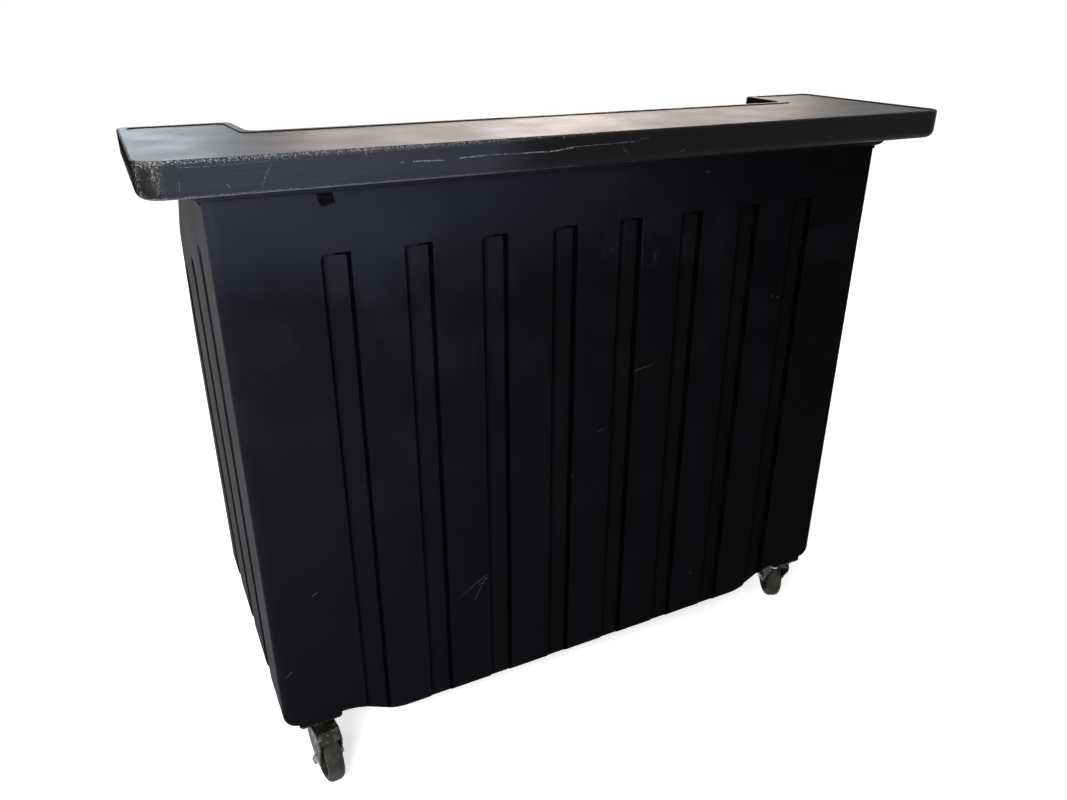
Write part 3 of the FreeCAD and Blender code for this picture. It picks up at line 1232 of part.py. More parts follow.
def brake_pedal(name):
    """Two cheeks outside the fork, a foot plate across them and a shoe over the tread."""
    body = doc.addObject("PartDesign::Body", name)
    foot_start = s.trail + s.pedal_foot_start
    foot_end_y = s.trail + s.pedal_reach
    outline = new_sketch(body, name + "_outline", "YZ_Plane")
    eye = s.pedal_eye_radius
    add_curve(outline, (pedal_pin_y, pedal_pin_level + eye), [
        ((pedal_pin_y - eye, pedal_pin_level), eye, 1),
        ((pedal_pin_y, pedal_pin_level - eye), eye, 1),
        ((foot_start, foot_plate_top - s.pedal_cheek_depth), None, 0),
        ((foot_end_y, foot_plate_bottom), None, 0),
        ((foot_end_y, foot_plate_top), None, 0),
        ((foot_start, foot_plate_top), None, 0),
        ((pedal_pin_y, pedal_pin_level + eye), None, 0),
    ])
    pad(body, name + "_block", outline, pedal_outer * 2, symmetric=True)
    inside = new_sketch(body, name + "_inside_outline", "YZ_Plane")
    add_outline(inside, [
        (0, bearing_bottom + s.overrun), (foot_start, bearing_bottom + s.overrun),
        (foot_start, foot_plate_bottom), (foot_end_y + s.overrun, foot_plate_bottom),
        (foot_end_y + s.overrun, 0), (0, 0),
    ])
    pocket(body, name + "_inside", inside, pedal_inner * 2, symmetric=True)
    shoe_outline = new_sketch(body, name + "_shoe_outline", "YZ_Plane")
    lean = math.radians(ANGLES["shoe_place"])
    near_end = wheel_level + s.shoe_gap
    far_end = near_end + s.shoe_height

    def shoe_corner(radial, across):
        return (s.trail + radial * math.cos(lean) - across * math.sin(lean),
                wheel_level + radial * math.sin(lean) + across * math.cos(lean))

    half_shoe = s.shoe_width / 2
    add_outline(shoe_outline, [
        shoe_corner(near_end, -half_shoe), shoe_corner(near_end, half_shoe),
        shoe_corner(far_end, half_shoe), shoe_corner(far_end, -half_shoe)])
    pad(body, name + "_shoe", shoe_outline, (fork_inner - s.shoe_side_gap) * 2, symmetric=True)
    pin_hole = new_sketch(body, name + "_pin_outline", "YZ_Plane")
    add_circle(pin_hole, pedal_pin_y, pedal_pin_level, s.pedal_pin_radius + s.pedal_pin_gap)
    pocket(body, name + "_pin_hole", pin_hole, symmetric=True)
    return body


casters = []
for name, x_side, pin_y in (("front_left", -1, pin_front), ("front_right", 1, pin_front),
                            ("rear_left", -1, pin_rear), ("rear_right", 1, pin_rear)):
    has_brake = name.startswith("rear")
    fixed = [caster_plate(name + "_caster_plate"), king_bolt(name + "_king_bolt")]
    turning = [swivel_bearing(name + "_swivel_bearing"), fork(name + "_fork", has_brake),
               axle(name + "_axle"), bush(name + "_bush"), wheel(name + "_wheel"),
               tyre(name + "_tyre")]
    if has_brake:
        turning += [pedal_pin(name + "_pedal_pin"), brake_pedal(name + "_brake_pedal")]
    turn = Rotation(Vector(0, 0, 1), ANGLES[name + "_turn"])
    for piece in fixed:
        place(piece, pin_x * x_side, pin_y, 0)
    for piece in turning:
        place(piece, pin_x * x_side, pin_y, 0, turn)
        casters.append(piece)
    casters += fixed

nodes = [body_shell, countertop, counter_angles, angle_screws, work_deck, deck_screws, ice_bin,
         ice_bin_cover, drain_flange, drain_gasket, drain_nut, drain_valve, valve_ball, drain_lever,
         shelf, shelf_clips, caster_inserts, caster_bolts] + casters + [
             thing for thing in doc.Objects if thing.Label.endswith("bottle_well")]

doc.recompute()
for thing in doc.Objects:
    if "Invalid" in thing.State or "Error" in thing.State:
        raise RuntimeError("%s did not build: %s" % (thing.Label, thing.State))
for node in nodes:
    if node.Shape.isNull() or not node.Shape.isValid() or not node.Shape.Solids:
        raise RuntimeError(node.Label + " is not a valid solid")
os.makedirs("parts", exist_ok=True)
for node in nodes:
    node.Shape.exportStep("parts/%s.step" % node.Label)
print(len(nodes), "parts written")
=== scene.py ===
"""Portable bar of black moulded polyethylene: fluted front, U-shaped counter, swivel casters."""

import math

import bpy
from mathutils import Matrix, Vector


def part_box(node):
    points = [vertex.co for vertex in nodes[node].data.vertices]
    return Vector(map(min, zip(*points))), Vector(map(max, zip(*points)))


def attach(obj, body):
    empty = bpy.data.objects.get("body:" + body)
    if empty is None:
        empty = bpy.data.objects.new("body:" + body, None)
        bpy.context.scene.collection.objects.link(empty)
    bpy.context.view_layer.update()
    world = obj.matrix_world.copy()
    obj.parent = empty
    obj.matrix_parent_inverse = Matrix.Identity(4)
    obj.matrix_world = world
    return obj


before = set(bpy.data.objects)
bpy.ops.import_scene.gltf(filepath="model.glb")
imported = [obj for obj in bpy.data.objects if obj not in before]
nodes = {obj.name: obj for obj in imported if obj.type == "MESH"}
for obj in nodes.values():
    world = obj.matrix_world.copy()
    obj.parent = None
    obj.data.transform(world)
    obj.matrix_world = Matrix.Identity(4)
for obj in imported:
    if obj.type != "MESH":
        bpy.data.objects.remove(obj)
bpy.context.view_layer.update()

# Body: one double-wall shell, rotationally moulded in black polyethylene. The mould leaves a fine
# orange-peel grain, and years of loading and stacking leave hair scratches and grey smudges.
body_low, body_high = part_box("body_shell")
counter_low, counter_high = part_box("countertop")
body_front = body_low.y
body_black = (0.0029, 0.0028, 0.0033, 1)
# the next tone is painted light, laid on the body's upper left and on the cove's left part
body_painted_light = (0.0124, 0.0122, 0.0160, 1)
body_chalk_and_painted_light = (0.030, 0.031, 0.036, 1)
gouge_pale = (0.22, 0.215, 0.20, 1)


class Finish:
    """A material under construction: its nodes, and short ways to add and join them."""

    def __init__(self, name):
        self.material = bpy.data.materials.new(name)
        self.material.use_nodes = True
        self.tree = self.material.node_tree
        self.shader = self.tree.nodes["Principled BSDF"]
        self.place = self.tree.nodes.new("ShaderNodeTexCoord").outputs["Object"]

    def node(self, kind, **inputs):
        made = self.tree.nodes.new(kind)
        for socket, value in inputs.items():
            self.feed(made.inputs[socket.replace("_", " ")], value)
        return made

    def feed(self, socket, value):
        if isinstance(value, bpy.types.NodeSocket):
            self.tree.links.new(value, socket)
        else:
            socket.default_value = value

    def math(self, operation, *values, clamp=False):
        made = self.tree.nodes.new("ShaderNodeMath")
        made.operation = operation
        made.use_clamp = clamp
        for socket, value in zip(made.inputs, values):
            self.feed(socket, value)
        return made.outputs[0]

    def stretched(self, scale, turn=(0, 0, 0)):
        """The place on the piece, scaled along each axis, for grain that runs one way."""
        mapping = self.node("ShaderNodeMapping", Vector=self.place)
        mapping.inputs["Scale"].default_value = scale
        mapping.inputs["Rotation"].default_value = turn
        return mapping.outputs[0]

    def noise(self, scale, detail=3, place=None, roughness=0.5):
        """An even cloudiness round 0.5, finer as the scale rises."""
        made = self.node("ShaderNodeTexNoise", Scale=scale, Detail=detail, Roughness=roughness)
        self.feed(made.inputs["Vector"], self.place if place is None else place)
        return made.outputs["Fac"]

    def step(self, value, low, high):
        """0 below low, 1 above high, and a soft ramp between; low above high turns it round."""
        made = self.node("ShaderNodeMapRange", Value=value)
        made.interpolation_type = "SMOOTHSTEP"
        for socket, number in zip(("From Min", "From Max"), sorted((low, high))):
            made.inputs[socket].default_value = number
        if low > high:
            made.inputs["To Min"].default_value = 1
            made.inputs["To Max"].default_value = 0
        return made.outputs[0]

    def hairlines(self, scale, turn, width, amount):
        """Thin wandering scratches, some places more than others."""
        lines = self.noise(1, 1, self.stretched(scale, turn))
        off_centre = self.math("ABSOLUTE", self.math("SUBTRACT", lines, 0.5))
        sharp = self.step(off_centre, width, width * 0.3)
        patches = self.step(self.noise(7, 2), 0.62 - amount, 0.70 - amount)
        return self.math("MULTIPLY", sharp, patches)

    def blend(self, share, first, second):
        """The first colour where the share is 0, the second where it is 1."""
        made = self.tree.nodes.new("ShaderNodeMix")
        made.data_type = "RGBA"
        self.feed(made.inputs["Factor"], share)
        self.feed(made.inputs["A"], first)
        self.feed(made.inputs["B"], second)
        return made.outputs["Result"]

    def most(self, *values):
        result = values[0]
        for value in values[1:]:
            result = self.math("MAXIMUM", result, value)
        return result

    def times(self, *values):
        result = values[0]
        for value in values[1:]:
            result = self.math("MULTIPLY", result, value)
        return result

    def axes(self):
        """The place on the piece along each axis, in metres."""
        return self.node("ShaderNodeSeparateXYZ", Vector=self.place).outputs

    def facing(self):
        """The way that the surface looks, as a share along each axis."""
        way = self.tree.nodes.new("ShaderNodeTexCoord").outputs["Normal"]
        return self.node("ShaderNodeSeparateXYZ", Vector=way).outputs

    def scar(self, start, end, width):
        """A scratch or dent from one place to another, dying out over its width."""
        way = Vector(end) - Vector(start)
        from_start = self.vector("SUBTRACT", self.place, start, "Vector")
        along = self.math("DIVIDE", self.vector("DOT_PRODUCT", from_start, tuple(way), "Value"),
                          way.length_squared, clamp=True)
        nearest = self.node("ShaderNodeVectorMath")
        nearest.operation = "SCALE"
        nearest.inputs[0].default_value = way
        self.feed(nearest.inputs["Scale"], along)
        off = self.vector("DISTANCE", from_start, nearest.outputs["Vector"], "Value")
        return self.step(off, width, width * 0.4)

    def vector(self, operation, first, second, output):
        made = self.tree.nodes.new("ShaderNodeVectorMath")
        made.operation = operation
        self.feed(made.inputs[0], first)
        self.feed(made.inputs[1], second)
        return made.outputs[output]

    def finish(self, colour, roughness, height=None, depth=0.0002, metallic=0.0, strength=0.5,
               specular=0.5):
        """Sets the surface, with a relief of the height given, depth metres deep."""
        self.feed(self.shader.inputs["Base Color"], colour)
        self.feed(self.shader.inputs["Roughness"], roughness)
        self.shader.inputs["Metallic"].default_value = metallic
        self.feed(self.shader.inputs["Specular IOR Level"], specular)
        if height is not None:
            bump = self.node("ShaderNodeBump", Height=height, Strength=strength)
            bump.inputs["Distance"].default_value = depth
            self.feed(self.shader.inputs["Normal"], bump.outputs[0])
        return self.material


def coat(name, material):
    """Gives one CAD node its finish."""
    slots = nodes[name].data.materials
    slots.clear()
    slots.append(material)


shell = Finish("black_polyethylene")
x, y, z = shell.axes()
orange_peel = shell.noise(420, 2)
waves = shell.noise(6, 1)
hair_scratches = shell.most(
    shell.hairlines((60, 60, 2.2), (0, 0.25, 0), 0.010, 0.0),
    shell.hairlines((30, 30, 30), (0.4, 0.2, 0), 0.004, 0.02),
)
body_marks = (
    # two ends as x and z on the front, and half the width
    (-0.276, 0.319, -0.249, 0.335, 0.0008), (-0.249, 0.335, -0.220, 0.351, 0.0010),
    (-0.246, 0.301, -0.222, 0.346, 0.0007), (-0.235, 0.333, -0.219, 0.344, 0.0011),
    (-0.610, 0.258, -0.603, 0.260, 0.0010), (-0.603, 0.260, -0.597, 0.266, 0.0010),
    (-0.546, 0.413, -0.535, 0.419, 0.0009), (0.267, 0.196, 0.270, 0.197, 0.0018),
    (0.401, 0.817, 0.404, 0.816, 0.0016), (0.416, 0.813, 0.419, 0.812, 0.0016),
    (0.217, 1.070, 0.221, 1.071, 0.0016), (0.090, 0.715, 0.130, 0.721, 0.0009),
    (0.013, 0.604, 0.026, 0.608, 0.0007), (-0.044, 0.519, -0.036, 0.522, 0.0009),
)
gouges = shell.most(*[
    shell.scar((x_start, body_front, z_start), (x_end, body_front, z_end), width)
    for x_start, z_start, x_end, z_end, width in body_marks])
gouges = shell.times(gouges, shell.step(shell.noise(700, 2), 0.36, 0.52))
smudge_share = 0.14
hair_share = 0.45
smudges = shell.times(shell.step(shell.noise(9, 5), 0.45, 0.75), smudge_share)
# smudges and hair scratches are real wear; their rise toward the top is painted light
painted_light_upward = shell.step(z, 0.35, 1.05)
chalk_with_painted_light = shell.math("MULTIPLY",
                   shell.math("ADD", smudges, shell.times(hair_scratches, hair_share), clamp=True),
                   shell.math("ADD", shell.times(painted_light_upward, 0.6), 0.10))
# the flutes on the front: how far a place is from the middle of the nearest one
flute_step = 0.1285
flute_half = 0.0195
flute_end = 0.999
flute_depth = 0.0096
row_half = 0.480
wall_width = 0.0035
right_wall_extra = 0.0022
# painted shade on the flutes' side walls: how much each wall gets, and the near-black tone painted
# there
left_wall_painted_shade = 0.34
right_wall_painted_shade = 0.62
flute_painted_shade = (0.0005, 0.0005, 0.0007, 1)
from_middle = shell.times(shell.math("SUBTRACT", shell.math(
    "FRACT", shell.math("DIVIDE", x, flute_step)), 0.5), flute_step)
off_middle = shell.math("ABSOLUTE", from_middle)
right_half = shell.step(from_middle, -0.001, 0.001)
in_row = shell.times(shell.step(shell.math("ABSOLUTE", x), row_half + 0.005, row_half),
                     shell.step(z, flute_end + 0.005, flute_end + 0.003))
sunk = shell.times(in_row, shell.step(y, body_front + flute_depth - 0.0006,
                                      body_front + flute_depth))
# painted shade: the side walls of each flute, wider and darker on the right, are painted near black
# and lose their shine
wall_reach = shell.math("SUBTRACT", off_middle, shell.times(right_half, right_wall_extra))
flute_wall_painted_shade = shell.times(
    in_row,
    shell.step(wall_reach, flute_half + wall_width, flute_half + wall_width - 0.002),
    shell.math("SUBTRACT", 1, sunk),
    shell.math("ADD", shell.times(right_half, right_wall_painted_shade), left_wall_painted_shade))
# painted light on the body: thick along the top toward the left, thin over the rest of the left
# half
painted_light_wander = 0.16
thin_painted_light = 0.16
uneven_z = shell.math("ADD", z, shell.times(
    shell.math("SUBTRACT", shell.noise(4, 4), 0.5), painted_light_wander))
painted_light_top_left = shell.most(shell.times(shell.step(x, 0.42, -0.58), shell.step(uneven_z, 0.88, 1.08)),
                  shell.times(shell.step(x, 0.20, -0.60), thin_painted_light))
body_plastic = shell.blend(painted_light_top_left, body_black, body_painted_light)
# painted light: the flute floors are lifted a little toward the chalk tone, against the shade in
# the recesses
flute_floors_painted_light = shell.blend(shell.times(sunk, 0.015), body_plastic, body_chalk_and_painted_light)
# the left side shines a little more than the front, and more toward its top
front_shine = 0.003
side_shine = 0.007
left_side = shell.step(shell.facing()["X"], -0.60, -0.95)
rising = shell.math("ADD", shell.times(shell.step(z, 0.15, 0.75), 0.7), 0.3)
shine = shell.math("ADD", shell.times(left_side, side_shine, rising), front_shine)
coat("body_shell", shell.finish(
    shell.blend(shell.times(gouges, 0.15),
                shell.blend(flute_wall_painted_shade, shell.blend(chalk_with_painted_light, flute_floors_painted_light, body_chalk_and_painted_light), flute_painted_shade),
                gouge_pale),
    shell.math("ADD", shell.times(shell.noise(9, 4), 0.16), 0.42),
    shell.math("SUBTRACT", shell.math("ADD", shell.times(orange_peel, 0.25), shell.times(waves, 3)),
               shell.times(gouges, 0.7)), 0.0004,
    specular=shell.times(shell.math("SUBTRACT", 1, flute_wall_painted_shade), shine)))

# Tape: a short strip of black vinyl tape stuck under the counter's left end, pressed flat by
# thumb, so that it follows the shell with soft creases and one lifted end.
tape_corners = ((-0.4730, 1.1050), (-0.4500, 1.1050), (-0.4425, 1.0765), (-0.463, 1.0715))
cove_foot = 1.0860
cove_turn = 1.0920
cove_lip = 0.003
cove_radius = 0.018
cove_lap = 0.002
tape_thickness = 0.0006
tape_clearance = 0.0001
crease_height = 0.00025
end_lift = 0.0016
ragged_edge = 0.0004
tape_steps = 20
tape_black = (0.0007, 0.0007, 0.0009, 1)
tape_dusty = (0.003, 0.003, 0.0035, 1)
tape_mesh = bpy.data.meshes.new("tape_strip")
tape_points = []


def cove_stand_off(level):
    """How far the cove under the counter stands out from the shell at a height."""
    lap = min(1, max(0, (level - cove_foot + cove_lap) / cove_lap))
    over = min(cove_radius * 0.95, max(0, level - cove_turn))
    return cove_lip * lap + cove_radius - math.sqrt(cove_radius ** 2 - over ** 2)


for layer in (0, 1):
    for row in range(tape_steps + 1):
        down = row / tape_steps
        left_x = tape_corners[0][0] + (tape_corners[3][0] - tape_corners[0][0]) * down
        left_z = tape_corners[0][1] + (tape_corners[3][1] - tape_corners[0][1]) * down
        right_x = tape_corners[1][0] + (tape_corners[2][0] - tape_corners[1][0]) * down
        right_z = tape_corners[1][1] + (tape_corners[2][1] - tape_corners[1][1]) * down
        for column in range(tape_steps + 1):
            across = column / tape_steps
            crease = (crease_height * math.sin(9 * across + 5 * down) ** 2
                      * math.sin(math.pi * down))
            lifted = end_lift * max(0, down - 0.75) ** 2 * 16 * across
            proud = tape_clearance + (tape_thickness + crease + lifted if layer else lifted)
            ragged = ragged_edge * math.sin(31 * across) if row in (0, tape_steps) else 0
            tape_z = left_z + (right_z - left_z) * across + ragged
            tape_points.append((left_x + (right_x - left_x) * across,
                                body_front - cove_stand_off(tape_z) - proud, tape_z))
row_length = tape_steps + 1
layer_length = row_length * row_length
tape_faces = []
for row in range(tape_steps):
    for column in range(tape_steps):
        corner = row * row_length + column
        tape_faces.append((corner, corner + row_length, corner + row_length + 1, corner + 1))
        outer = corner + layer_length
        tape_faces.append((outer, outer + 1, outer + row_length + 1, outer + row_length))
tape_rim = ([(0, column) for column in range(tape_steps)]
            + [(row, tape_steps) for row in range(tape_steps)]
            + [(tape_steps, column) for column in range(tape_steps, 0, -1)]
            + [(row, 0) for row in range(tape_steps, 0, -1)])
tape_rim = [row * row_length + column for row, column in tape_rim]
for here, there in zip(tape_rim, tape_rim[1:] + tape_rim[:1]):
    tape_faces.append((here, there, there + layer_length, here + layer_length))
tape_mesh.from_pydata(tape_points, [], tape_faces)
tape_mesh.shade_smooth()
tape_piece = bpy.data.objects.new("tape_strip", tape_mesh)
bpy.context.scene.collection.objects.link(tape_piece)
tape = Finish("vinyl_tape")
tape_mesh.materials.append(tape.finish(
    tape.blend(tape.step(tape.noise(260, 3), 0.45, 0.7), tape_black, tape_dusty),
    tape.math("ADD", tape.times(tape.noise(120, 3), 0.2), 0.16),
    tape.noise(500, 2, tape.stretched((1, 1, 0.2))), 0.0002, specular=0.03))
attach(tape_piece, "bar")

# Counter: a separate U-shaped moulding of the same polyethylene with a pebbled top, a low rim
# round a sunk panel, and edges rubbed chalky by hands, crates and door frames.
counter_black = (0.0046, 0.0045, 0.0048, 1)
# the next tone is painted light on the counter's front
counter_painted_light = (0.0172, 0.0172, 0.0214, 1)
counter_chalk = (0.24, 0.235, 0.23, 1)
corner_grey = (0.0085, 0.0078, 0.0068, 1)
corner_brown = (0.0050, 0.0036, 0.0028, 1)
counter = Finish("rubbed_polyethylene")
x, y, z = counter.axes()
facing = counter.facing()
top_face = counter.step(facing["Z"], 0.35, 0.85)
left_end = counter.step(facing["X"], -0.72, -0.88)
pebbles = counter.node("ShaderNodeTexVoronoi", Scale=620, Vector=counter.place)
pebbles = counter.step(pebbles.outputs["Distance"], 0.75, 0.05)
rubbed_side = counter.math("ADD", counter.times(counter.step(x, 0.02, -0.36), 0.72), 0.28)
grains = counter.noise(1, 3, counter.stretched((430, 500, 620)), 0.72)
# how thick the rubbed grains lie: most at the top edge, and again along the lowest edge
grain_share = counter.most(
    counter.times(counter.step(z, counter_high.z - 0.010, counter_high.z - 0.001), 0.8),
    counter.times(counter.step(z, body_high.z + 0.0068, body_high.z + 0.0004), 1.15,
                  counter.step(z, body_high.z - 0.0004, body_high.z + 0.0002)))
grain_share = counter.times(grain_share, rubbed_side, counter.step(y, counter_low.y + 0.018,
                                                                   counter_low.y + 0.014))
rubbed = counter.times(
    counter.step(counter.math("ADD", grains, counter.times(grain_share, 0.17)), 0.635, 0.70),
    counter.step(grain_share, 0.02, 0.30))
counter_marks = (
    # two ends as x and z on the front, half the width, and how strong
    (-0.648, 1.1509, -0.604, 1.1500, 0.0006, 0.35), (-0.604, 1.1500, -0.499, 1.1535, 0.0006, 0.22),
    (-0.538, 1.1475, -0.547, 1.1319, 0.0009, 0.30), (-0.547, 1.1319, -0.553, 1.1159, 0.0010, 0.35),
    (-0.595, 1.1271, -0.592, 1.1231, 0.0011, 0.40), (-0.651, 1.1342, -0.652, 1.1221, 0.0008, 0.20),
    (-0.346, 1.1380, -0.302, 1.1362, 0.0012, 0.85), (-0.278, 1.1377, -0.240, 1.1388, 0.0012, 0.85),
    (-0.240, 1.1395, -0.182, 1.1378, 0.0009, 0.50), (-0.182, 1.1378, -0.129, 1.1375, 0.0013, 0.80),
    (-0.129, 1.1375, -0.088, 1.1416, 0.0013, 0.90), (-0.088, 1.1416, 0.026, 1.1432, 0.0009, 0.45),
    (-0.007, 1.1420, -0.004, 1.1318, 0.0008, 0.35), (-0.004, 1.1318, 0.007, 1.1228, 0.0008, 0.35),
    (-0.412, 1.1539, -0.412, 1.1474, 0.0010, 0.40), (-0.364, 1.1374, -0.360, 1.1378, 0.0011, 0.50),
    (0.026, 1.1467, 0.042, 1.1464, 0.0009, 0.30), (0.073, 1.1125, 0.092, 1.1145, 0.0011, 0.35),
    (0.092, 1.1145, 0.109, 1.1248, 0.0012, 0.30), (0.420, 1.1263, 0.434, 1.1298, 0.0009, 0.30),
    (0.446, 1.1156, 0.475, 1.1154, 0.0009, 0.35), (0.523, 1.1243, 0.532, 1.1150, 0.0009, 0.35),
)
bar_scratches = counter.times(
    counter.most(*[
        counter.times(counter.scar((x_start, counter_low.y, z_start),
                                   (x_end, counter_low.y, z_end), width), strength)
        for x_start, z_start, x_end, z_end, width, strength in counter_marks]),
    counter.step(counter.noise(520, 3, counter.stretched((0.6, 1, 1)), 0.7), 0.42, 0.56))
streaks = counter.noise(1, 4, counter.stretched((5, 60, 330)), 0.6)
fine_scratches = counter.hairlines((40, 40, 90), (0.5, 0.6, 0.2), 0.006, 0.06)
# the rounded left corner: scraped pale by knocks, round a dark brown stain
corner_radius = 0.034
corner_start = counter_low.x - counter_low.y - corner_radius
round_corner = counter.math("SUBTRACT", x, y)
corner_zone = counter.times(counter.step(round_corner, corner_start + 0.010, corner_start + 0.022),
                            counter.step(round_corner, corner_start + 0.072, corner_start + 0.058),
                            counter.step(z, body_high.z - 0.001, body_high.z + 0.001),
                            counter.step(y, counter_low.y + 0.050, counter_low.y + 0.040),
                            counter.math("SUBTRACT", 1, top_face))
stain_middle = (corner_start + 0.042, body_high.z + 0.020)
stain_half = (0.012, 0.021)
stain_wander = 1.2
stain_off = counter.math("POWER", counter.math("ADD", *[
    counter.math("POWER", counter.math("DIVIDE", counter.math(
        "ABSOLUTE", counter.math("SUBTRACT", spot, middle)), half), 2)
    for spot, middle, half in zip((round_corner, z), stain_middle, stain_half)]), 0.5)
stain_off = counter.math("ADD", stain_off, counter.times(
    counter.math("SUBTRACT", counter.noise(160, 3), 0.5), stain_wander))
stain = counter.times(corner_zone, counter.step(stain_off, 1.25, 0.80))
flecks = counter.times(
    corner_zone,
    counter.step(counter.noise(1, 4, counter.stretched((520, 520, 210)), 0.75), 0.555, 0.615),
    counter.math("SUBTRACT", 1, counter.times(stain, 0.9)))
# painted light on the counter's front: lighter toward the left, a little less at the far left end,
# with streaks of the plastic's own; the top and the left end face are left out
front_painted_light_and_streaks = counter.times(
    counter.step(x, -0.13, -0.25),
    counter.math("SUBTRACT", 1, counter.times(counter.step(x, -0.50, -0.68), 0.38)),
    counter.math("ADD", counter.times(streaks, 1.3), 0.32),
    counter.math("SUBTRACT", 1, top_face), counter.math("SUBTRACT", 1, left_end))
counter_plastic = counter.blend(front_painted_light_and_streaks, counter_black, counter_painted_light)
counter_plastic = counter.blend(counter.times(corner_zone, 0.9), counter_plastic, corner_grey)
counter_plastic = counter.blend(stain, counter_plastic, corner_brown)
# the cove lies below the counter's foot and is painted in the body's darker tone as painted shade
# under the overhang, lighter toward the left with the body's painted light
cove_painted_shade = counter.step(z, body_high.z + 0.0002, body_high.z - 0.0006)
cove_painted_tone = counter.blend(counter.step(x, 0.42, -0.58), body_black, body_painted_light)
chalk_share = 0.62
fleck_share = 0.75
fine_share = 0.06
chalky = counter.math(
    "ADD", counter.most(rubbed, bar_scratches, counter.times(flecks, fleck_share)),
    counter.times(fine_scratches, fine_share), clamp=True)
rubbed_tone = counter.blend(counter.times(chalky, chalk_share), counter_plastic, counter_chalk)
face_shine = 0.045
top_shine = 0.055
coat("countertop", counter.finish(
    counter.blend(cove_painted_shade, rubbed_tone, cove_painted_tone),
    counter.math("ADD", counter.times(counter.noise(14, 4), 0.16), 0.38),
    counter.math("ADD", counter.times(pebbles, 0.8), counter.times(chalky, -0.5)), 0.0003,
    # the left end face gets no shine and the cove little, as painted shade
    specular=counter.times(
        counter.math("ADD", counter.times(top_face, top_shine), face_shine),
        counter.math("SUBTRACT", 1, left_end),
        counter.math("SUBTRACT", 1, counter.times(cove_painted_shade, 0.9)))))

# Work deck, ice bin, its cover, bottle wells and shelf: food-safe polyethylene, smoother than
# the shell, with the fine cross scratches of glasses and scoops.
liner_black = (0.020, 0.021, 0.024, 1)
well_black = (0.026, 0.027, 0.031, 1)
liner_grey = (0.085, 0.086, 0.090, 1)
liner_wear = 0.16


def liner_finish(name, colour, scale):
    liner = Finish(name)
    worn = liner.most(liner.hairlines((scale, scale * 0.1, scale), (0, 0, 0.5), 0.010, 0.08),
                      liner.hairlines((scale * 0.1, scale, scale), (0, 0, 0.3), 0.010, 0.08))
    return liner.finish(
        liner.blend(liner.times(worn, liner_wear), colour, liner_grey),
        liner.math("ADD", liner.times(liner.noise(11, 4), 0.18), 0.30),
        liner.math("ADD", liner.times(liner.noise(700, 2), 0.5), liner.times(worn, 0.2)), 0.00015)


deck_finish = liner_finish("deck_polyethylene", liner_black, 90)
well_finish = liner_finish("well_polyethylene", well_black, 120)
for name in ("work_deck", "ice_bin", "ice_bin_cover", "shelf"):
    coat(name, deck_finish)
for name in ("left_bottle_well", "right_bottle_well"):
    coat(name, well_finish)

# Drain: turned brass flange, nut and ball valve, clamped through the bin's floor on a rubber
# gasket. The steel lever is dipped in red vinyl. The casters' inserts are brass too.
brass_bright = (0.62, 0.43, 0.18, 1)
brass_tarnished = (0.28, 0.19, 0.09, 1)
gasket_black = (0.012, 0.012, 0.012, 1)
gasket_grey = (0.03, 0.03, 0.03, 1)
vinyl_red = (0.30, 0.012, 0.010, 1)
vinyl_dark = (0.20, 0.010, 0.010, 1)
brass = Finish("turned_brass")
tarnish = brass.step(brass.noise(60, 5), 0.45, 0.65)
brass_finish = brass.finish(
    brass.blend(tarnish, brass_bright, brass_tarnished),
    brass.math("ADD", brass.times(tarnish, 0.25), 0.25),
    brass.noise(1, 2, brass.stretched((20, 20, 2600))), 0.00006, metallic=1.0)
for name in ("drain_flange", "drain_nut", "drain_valve", "valve_ball", "caster_inserts"):
    coat(name, brass_finish)
gasket = Finish("gasket_rubber")
coat("drain_gasket", gasket.finish(
    gasket.blend(gasket.noise(300), gasket_black, gasket_grey), 0.75,
    gasket.noise(900), 0.0002))
vinyl = Finish("lever_vinyl")
coat("drain_lever", vinyl.finish(
    vinyl.blend(vinyl.noise(90, 4), vinyl_red, vinyl_dark),
    vinyl.math("ADD", vinyl.times(vinyl.noise(30), 0.2), 0.30), vinyl.noise(400), 0.0002))

# Steelwork: zinc-plated angles, screws, forks, plates and pedals. The plating has gone dull and
# rust has come through in spots, most of all on the forks near the floor.
zinc_bright = (0.62, 0.60, 0.55, 1)
zinc_dull = (0.33, 0.32, 0.30, 1)
rust_brown = (0.16, 0.065, 0.024, 1)
aged_bright = (0.20, 0.185, 0.155, 1)
aged_dull = (0.020, 0.0185, 0.0155, 1)
worn_dull = (0.12, 0.11, 0.09, 1)
grime_brown = (0.014, 0.0095, 0.0065, 1)


def zinc_finish(name, rust_share, bright, dull, rusty, dull_share=0.0):
    """Plating that goes from bright to dull in clouds, with rust in spots; the shares add more."""
    zinc = Finish(name)
    cloudy = zinc.step(zinc.noise(70, 4, roughness=0.65), 0.42 - dull_share, 0.56 - dull_share)
    rust = zinc.step(zinc.noise(85, 6, roughness=0.65), 0.66 - rust_share, 0.72 - rust_share)
    metal = zinc.blend(cloudy, bright, dull)
    material = zinc.finish(
        zinc.blend(rust, metal, rusty),
        zinc.math("ADD", zinc.times(zinc.most(cloudy, rust), 0.34), 0.24),
        zinc.math("ADD", zinc.times(rust, 1.2), zinc.times(zinc.noise(600, 2), 0.25)), 0.0003)
    zinc.feed(zinc.shader.inputs["Metallic"], zinc.math("SUBTRACT", 1, zinc.times(rust, 0.85)))
    return material


